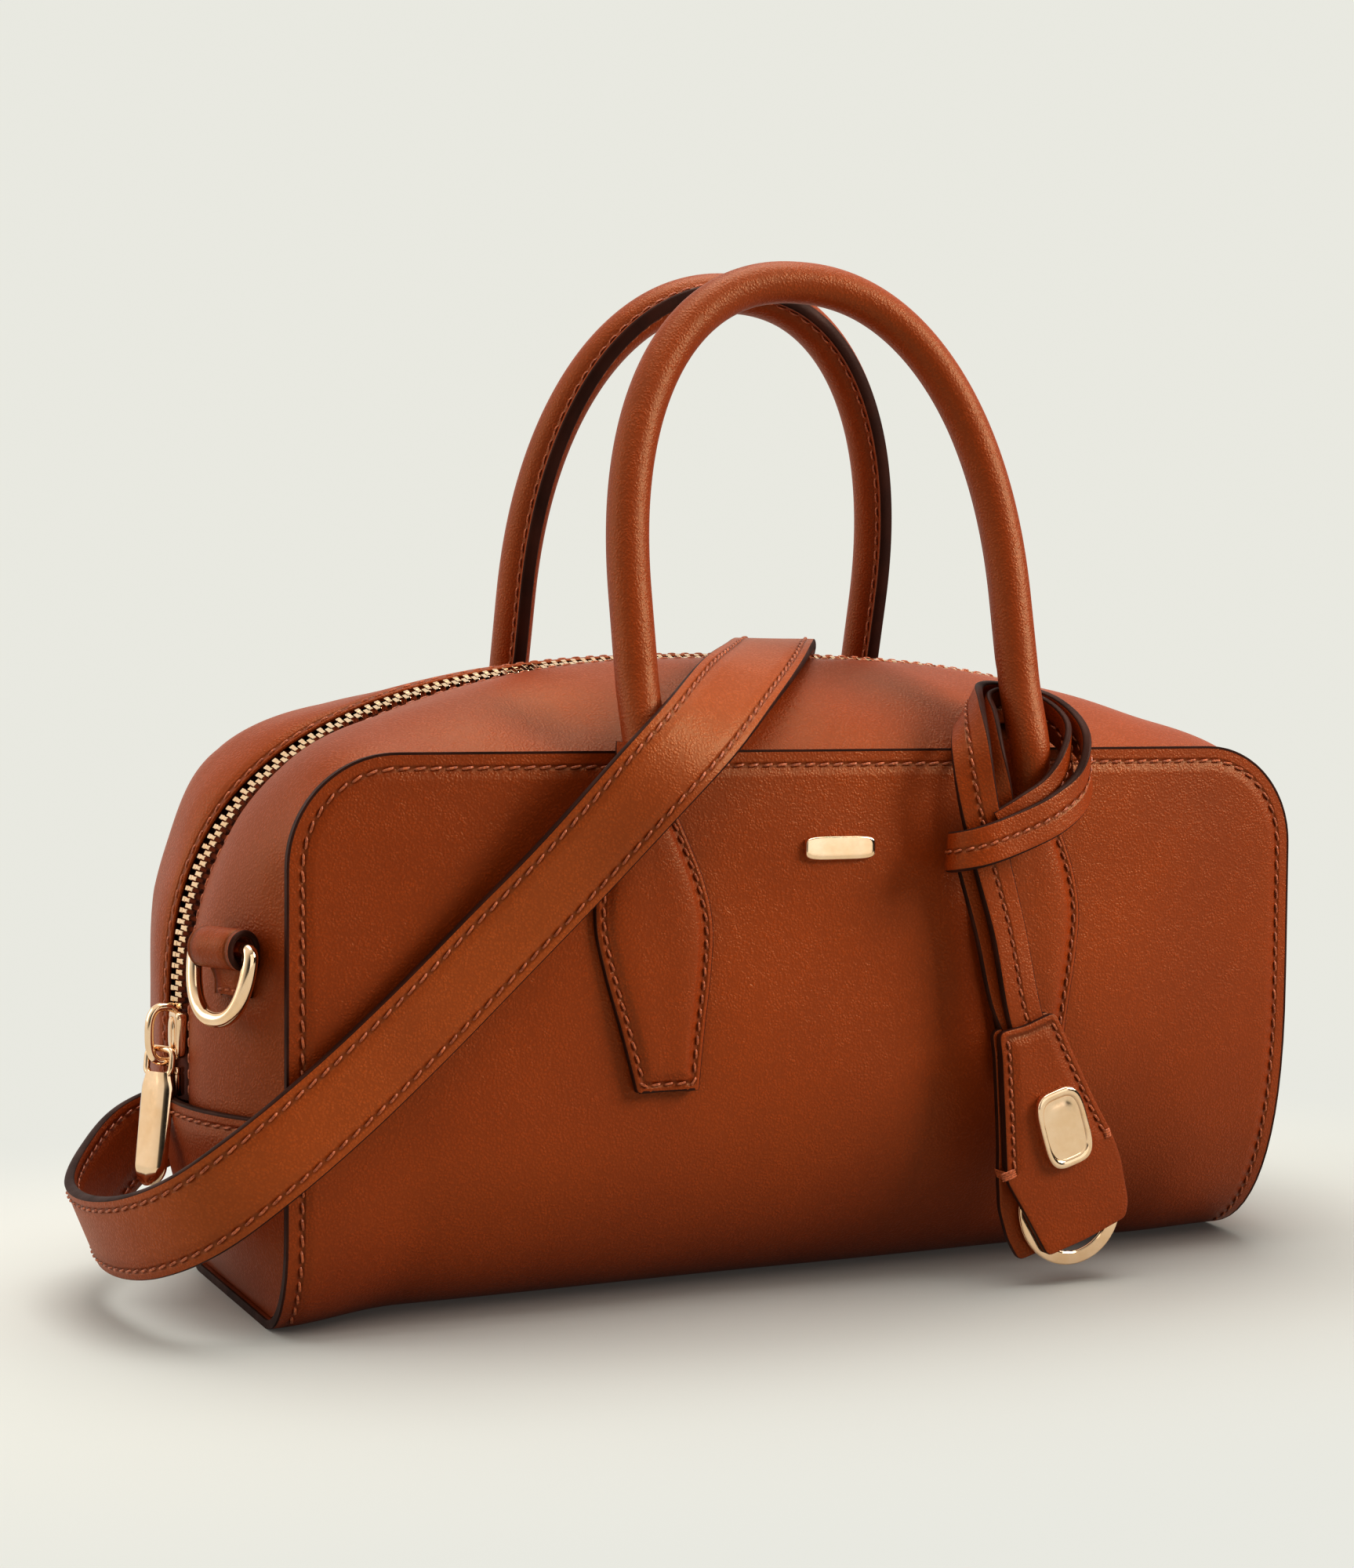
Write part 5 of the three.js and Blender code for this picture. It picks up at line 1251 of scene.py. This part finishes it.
# second turn of the strap round the handle, inside the first
innerRoute = [
    (44, -67.6, 126, 0, -1, 0.1), (52, -68.2, 130.5, 0.1, -1, 0.1), (60.5, -67.2, 135.5, 0.3, -1, 0.15),
    (67, -63.5, 143.5, 0.75, -0.7, 0.15), (70, -57, 151, 1, -0.1, 0.15), (67.3, -48.5, 156.5, 0.9, 0.5, 0.25),
    (60.5, -44.3, 159, 0.2, 1, 0.3), (51, -46.5, 158, -0.6, 0.7, 0.35), (45.5, -55, 153.5, -0.9, -0.1, 0.4),
    (43, -61, 145, -0.8, -0.6, 0.2), (44.5, -62.4, 134, -0.35, -1, 0.1), (47, -62, 123, -0.1, -1, 0)]
hangTag = {"origin": np.array([53.0, -66.6, 73.5]), "lean": 17.0, "thick": 5.8, "layer": 2.0, "join": 37.5,
           "stitchInset": 2.2, "splay": np.array([-1.6, 1.2])}
# outlines as (across, down) from the middle of the top; the face layer has its low left corner cut away
tagRight = [(7.6, 0.1), (8.4, 1.2), (10.1, 11.2), (13.5, 28.4), (16.1, 38.6), (16.9, 46.2), (15.9, 59),
            (13.8, 63.0), (0.1, 64.2)]
tagTop = [(-15.0, 23.2), (-11.1, 6.6), (-10.2, 0.3), (-9.3, -0.3), (-2, 0.6)]
tagFace = np.array(tagRight + [(-12.6, 64.2), (-16.3, 49.6), (-19.0, 39.8), (-18.3, 36.8)] + tagTop)
tagBack = np.array(tagRight + [(-17.4, 64.0), (-19.4, 57), (-20.2, 48), (-19.0, 39.0)] + tagTop)


def tagAxes():  # across the tag, up it and out of its face
    c, s = np.cos(np.radians(hangTag["lean"])), np.sin(np.radians(hangTag["lean"]))
    return np.array([[c, 0, s], [-s, 0, c], [0, -1, 0]])


def flatPoints(flat, front=0.0):  # places (across, down) on the tag, at a distance before its middle
    axes = tagAxes()
    front = np.asarray(front, float)[..., None]
    return hangTag["origin"] + flat[..., :1] * axes[0] - flat[..., 1:] * axes[1] + front * axes[2]


def smoothLoop(corners, gap, rounds):  # closed outline with softened corners
    return soften(walk(np.asarray(corners, float), gap, closed=True, offset=0.0)[0], rounds)


def distanceToLoop(points, loop):
    a, b = loop, np.roll(loop, -1, 0)
    ab = b - a
    t = np.clip(np.einsum("pij,ij->pi", points[:, None] - a, ab) / np.einsum("ij,ij->i", ab, ab), 0, 1)
    return np.linalg.norm(points[:, None] - (a + t[..., None] * ab), axis=2).min(1)


def plate(loop, front, back, edgeRound=0.35, crown=0.0, inset=None, rings=9):
    # outline shrunk towards its middle in rings on both faces, with rounded edges between
    centre = (loop.max(0) + loop.min(0)) / 2
    rest = np.linspace(0.94, 0.06, rings)
    turn = np.array([1, 0.3, 0]) * edgeRound  # the rounded edge: how far in and how far down
    size = np.linalg.norm(loop - centre, axis=1).mean()
    edge = 1 - turn / size
    shrink = np.concatenate([rest[::-1], edge, edge[::-1], rest])
    dome = crown * (1 - rest[::-1] ** 2)
    high = np.concatenate([front + dome, front - turn[::-1], back + turn, np.full(rings, back)])
    flat = centre + (loop - centre) * shrink[:, None, None]
    marks = np.zeros((len(shrink) - 1, len(loop)), int)
    marks[rings + 1:rings + 4] = 1
    seam = None
    if inset is not None:
        seam = distanceToLoop(flat.reshape(-1, 2), loop).reshape(flat.shape[:2]) - inset
        seam[rings + 2:] = none
        seam = np.where(flat[..., 1] < hangTag["join"] + 2, seam, none)
    return loft(flatPoints(flat, high[:, None]), marks, 0, seam=seam)


def buildTag():
    axes = tagAxes()
    half, layer = hangTag["thick"] / 2, hangTag["layer"]
    inset, join = hangTag["stitchInset"], hangTag["join"]
    faceSide = plate(smoothLoop(tagFace, 0.8, 3), half, half - layer, crown=0.4, inset=inset)
    # the back layer stands away a little towards its foot
    points, *others = plate(smoothLoop(tagBack, 0.8, 4), layer - half, -half)
    away = ease((hangTag["origin"] - points) @ axes[1], join - 8, 34)[:, None]
    points = points + away * (hangTag["splay"][0] * axes[0] - hangTag["splay"][1] * axes[2])
    core = [(-9.2, 0.6), (-18.0, join), (15.0, join), (7.2, 0.8)]
    filler = plate(smoothLoop(core, 1.0, 2), half - layer + 0.1, layer - half - 0.1)
    putPiece("hangTag", [faceSide, (points, *others), filler], skins, stands=["hang_tag"])
    sewn = []
    # a row down each side, ended by a tack that is longer where the face is cut away
    for side, edge, reach in ((-1, tagFace[-6:-2][::-1], 4.6), (1, tagFace[1:5], 2.2)):
        down = np.linspace(2.2, join, 30)
        row = np.stack([np.interp(down, edge[:, 1], edge[:, 0]) - side * inset, down], 1)
        for face in (1, -1):
            sewn.append(stitches(flatPoints(row, (half + 0.1) * face), axes[2] * face, **tagSewing))
        spot = flatPoints(row[-1] + [side * (reach / 2 - 0.2), 0.5], half + 0.1)
        sewn.append(barTack(spot, axes[0], axes[2], reach, 4, 0.36))
    turn = flatPoints(np.array([-18.9, join + 0.5]))
    sewn.append(barTack(turn, axes[2], -axes[0], hangTag["thick"] + 0.6, 4, 0.36))
    putPiece("tagStitches", sewn, [thread])


def buildTagStrap():
    hung = np.array(tagRoute[:4], float)  # the second strand hangs behind the first
    hung[:, :3] += tagStrap["behind"] * np.array([[0.25], [0.8], [1], [1]])
    parts, sewn = [], []
    for rows, share in ((tagRoute, 1), (hung, tagStrap["innerShare"]), (innerRoute, tagStrap["innerShare"])):
        frames = routeFrames(rows, 16)
        sizes = tagStrap["width"], tagStrap["thick"] * share, tagStrap["stitchInset"]
        parts.append(stripPart(frames, *sizes))
        sewn += stripStitches(frames, *sizes, lanes=(1,), radius=0.34, **tagSewing)
    putPiece("tagStrap", parts, skins, stands=["tag_strap"])
    putPiece("tagStrapStitches", sewn, [thread])


keyRing = {"radius": 14.5, "half": 1.75, "thick": 0.75, "across": -0.8, "down": 54.4}
plaque = {"width": 15.0, "height": 22.0, "thick": 2.6, "across": 0.9, "down": 31.0, "sunk": 0.7}
frontBar = {"x": 2.0, "z": 121.0, "width": 21.0, "height": 6.4, "thick": 1.6, "edge": 0.55}


def buildKeyRing():  # flat ring of two turns, with a groove where they meet
    axes = tagAxes()
    a = fullTurn(120)[:, None]
    spoke = np.cos(a) * axes[0] + np.sin(a) * axes[1]
    w, h = keyRing["half"], keyRing["thick"]
    section = np.array([[w, 0.12], [w, h - 0.2], [w - 0.3, h], [0.3 - w, h], [-w, h - 0.2], [-w, 0.12],
                        [0.25 - w, 0]])
    line = flatPoints(np.array([keyRing["across"], keyRing["down"]])) + spoke * keyRing["radius"]
    ring = loft(carry(np.vstack([section, -section]), line, spoke, np.tile(axes[2], (120, 1))), closed=True)
    putPiece("keyRing", [ring], [gold], slot="gold", stands=["key_ring"], sharp=30)


def buildPlaque():  # round edge, raised rim, then a shallow domed field
    middle = np.array([plaque["across"], plaque["down"]])
    oval = ovalPath((0, 0), (1, 0), (0, 1), plaque["width"] / 2, plaque["height"] / 2, 120, 0.55)
    out = np.array([0.96, 0.99, 1.0, 1.0, 0.985, 0.95, 0.9, 0.84, 0.8, 0.77, 0.74, 0.6, 0.4, 0.2, 0.05])
    rim = np.array([0.7, 0.3, 0.06, 0, 0.06, 0.3])
    field = plaque["sunk"] - np.array([0, 0, 0.15, 0.28, 0.34, 0.36])
    high = np.concatenate([[0, 0.05, 0.3], plaque["thick"] - rim, plaque["thick"] - field])
    seat = hangTag["thick"] / 2 + body["gap"]
    rings = flatPoints(middle + oval * out[:, None, None], seat + high[:, None])
    putPiece("tagPlaque", [loft(rings)], [gold], slot="gold", stands=["tag_ornament"], sharp=40)


def buildFrontBar():  # flat bar with rounded ends and edges
    size = np.array([frontBar["width"], frontBar["height"]]) / 2
    pill = ovalPath((0, 0), (1, 0), (0, 1), *size, 120, 0.4)
    e, t = frontBar["edge"], frontBar["thick"]
    grow = np.array([0.0, 0.0, -0.06, -0.25, -e, -1.1, -2.0, -2.9])
    high = np.array([0.0, t - e, t - 0.6 * e, t - 0.22 * e, t - 0.03, t, t, t])[:, None]
    x, z = np.moveaxis(pill * (1 + grow[:, None, None] / size), -1, 0)
    y = -(body["depth"] / 2 + puffAt(frontBar["x"], frontBar["z"]) + body["gap"]) - high
    rings = np.stack([frontBar["x"] + x, y + 0 * x, frontBar["z"] + z], -1)
    putPiece("frontBar", [loft(rings)], [gold], slot="gold", stands=["front_bar"], sharp=40)


buildTag()
buildTagStrap()
buildKeyRing()
buildPlaque()
buildFrontBar()
print("tag and trim done")


# stage: a pale floor that curves up into a round wall, with lengths in metres

stage = {"flat": 1.5, "bend": 0.9, "high": 2.6, "split": 1.1, "sides": 128, "tone": "ecece5",
         "foot": (0.19, 0.07, 0.0), "near": 0.02, "far": 0.19, "matt": 0.72, "glow": 0.04}


def buildStage():
    finish, tree, shader, place = newFinish("paleFloor")
    # matt round the bag so that it takes a shadow, and evenly bright of its own further out
    beyond = vectorMath(tree, "SUBTRACT", vectorMath(tree, "ABSOLUTE", place)[0], stage["foot"])[0]
    away = vectorMath(tree, "LENGTH", vectorMath(tree, "MAXIMUM", beyond)[0])["Value"]
    far = spread(tree, away, stage["near"], stage["far"], 0.0, 1.0, "SMOOTHSTEP")
    pale = np.array(tone(stage["tone"]))
    matt, glow = (*(pale[:3] * stage["matt"]), 1.0), (*(pale[:3] * stage["glow"]), 1.0)
    setShader(tree, shader, Base_Color=blendTone(tree, far, matt, (0.0, 0.0, 0.0, 1.0)), Roughness=0.9,
              Specular_IOR_Level=0.0, Emission_Color=blendTone(tree, far, glow, tuple(pale)),
              Emission_Strength=1.0)
    a = np.linspace(0, np.pi / 2, 24)[1:]
    flat, bend, sides = stage["flat"], stage["bend"], stage["sides"]
    r = np.concatenate([[0.02], np.linspace(0.1, flat, 16), flat + bend * np.sin(a), [flat + bend]])[:, None]
    z = np.concatenate([np.zeros(17), bend * (1 - np.cos(a)), [stage["high"]]])[:, None]
    w = fullTurn(sides)
    points = np.stack([r * np.cos(w), r * np.sin(w), z + 0 * w], -1).reshape(-1, 3)
    faces = gridFaces(len(r), sides, around=True).tolist() + [list(range(sides))]
    near = int((r < stage["split"]).sum()) * sides
    for name, rows in (("paleFloor", faces[-1:] + faces[:near]), ("paleWall", faces[near:-1])):
        used, order = np.unique(np.concatenate(rows), return_inverse=True)
        sizes = np.cumsum([len(face) for face in rows])[:-1]
        mesh = bpy.data.meshes.new(name)
        rounds = [face.tolist() for face in np.split(order.ravel(), sizes)]
        mesh.from_pydata(points[used].tolist(), [], rounds)
        mesh.polygons.foreach_set("use_smooth", np.ones(len(rows), bool))
        mesh.materials.append(finish)
        ground = bpy.data.objects.new(name, mesh)
        bpy.context.scene.collection.objects.link(ground)
        ground.visible_glossy = name == "paleFloor"
        ground.visible_diffuse = name == "paleFloor"  # light comes back from the floor, not from the far wall
        stagePieces.objects.link(ground)


lamps = {
    "top": {"at": (0.14, 0.06, 1.45), "to": (0, 0, 0.15), "size": 1.0, "power": 13.5, "only": bagPieces},
    "floor": {"at": (0.05, 0.12, 1.45), "to": (0, 0, 0), "size": 1.2, "power": 16.5, "only": stagePieces},
    "left": {"at": (-1.25, 0.35, 0.6), "to": (-0.1, 0, 0.12), "size": 0.9, "power": 4.4},
    "front": {"at": (0.82, -0.64, 0.66), "to": (0, 0, 0.1), "size": 0.5, "power": 13.5, "only": bagPieces},
    "metal": {"at": (0.25, -1.5, 0.4), "to": (0, 0, 0.1), "size": 1.3, "power": 6.5, "only": goldPieces}}
surround = {"way": (-0.4, 0.55, 0.73), "from": -0.35, "to": 0.5, "dim": 0.03, "bright": 1.05,
            "tone": "f6f4ee", "gamma": 0.85}


def placed(right, rise, back, at):  # matrix of a lamp or camera from its directions and its place
    return Matrix(np.vstack([np.column_stack([right, rise, back, at]), [0, 0, 0, 1]]).tolist())


def aim(at, to):  # a lamp that looks at a point
    back = unit(np.asarray(at, float) - np.asarray(to, float))
    right = unit(np.cross(up, back) + np.array([1e-6, 0, 0]))
    return placed(right, np.cross(back, right), back, at)


def buildLight():
    for name, lamp in lamps.items():
        data = bpy.data.lights.new(name, "AREA")
        data.shape = "SQUARE"
        data.size = lamp["size"]
        data.energy = lamp["power"]
        light = bpy.data.objects.new(name + "Softbox", data)
        light.matrix_world = aim(lamp["at"], lamp["to"])
        light.visible_camera = False
        if "only" in lamp:  # lights these pieces alone
            light.light_linking.receiver_collection = lamp["only"]
        bpy.context.scene.collection.objects.link(light)
    world = bpy.data.worlds.new("studio")
    world.use_nodes = True
    tree = world.node_tree
    sky = tree.nodes["Background"].inputs
    sky["Color"].default_value = tone(surround["tone"])
    # bright above and behind, dim in front, so that the front keeps its colour and the metal its contrast
    way = node(tree, "ShaderNodeTexCoord").outputs["Generated"]
    facing = vectorMath(tree, "DOT_PRODUCT", way, surround["way"])["Value"]
    strength = spread(tree, facing, surround["from"], surround["to"], surround["dim"], surround["bright"],
                      "SMOOTHSTEP")
    tree.links.new(strength, sky["Strength"])
    bpy.context.scene.world = world
    bpy.context.scene.view_settings.view_transform = "Standard"
    bpy.context.scene.view_settings.gamma = surround["gamma"]  # a little more contrast


view = {"azimuth": -24.099, "down": 2.72, "roll": 0.449, "at": np.array([-333.654, -696.734, 172.209]),
        "focus": 3441.142, "tall": 2000}


def buildCamera():
    azimuth, down, lean = np.radians([view["azimuth"], view["down"], view["roll"]])
    forward = np.array([-np.sin(azimuth) * np.cos(down), np.cos(azimuth) * np.cos(down), -np.sin(down)])
    right = np.array([np.cos(azimuth), np.sin(azimuth), 0])
    rise = np.cross(right, forward)
    turnedRight = right * np.cos(lean) + rise * np.sin(lean)
    turnedRise = rise * np.cos(lean) - right * np.sin(lean)
    data = bpy.data.cameras.new("view")
    data.sensor_width = 36.0
    data.lens = view["focus"] * data.sensor_width / view["tall"]
    camera = bpy.data.objects.new("view", data)
    camera.matrix_world = placed(turnedRight, turnedRise, -forward, view["at"] * mm)
    bpy.context.scene.collection.objects.link(camera)
    bpy.context.scene.camera = camera


buildStage()
buildLight()
buildCamera()
print("stage, light and camera done")
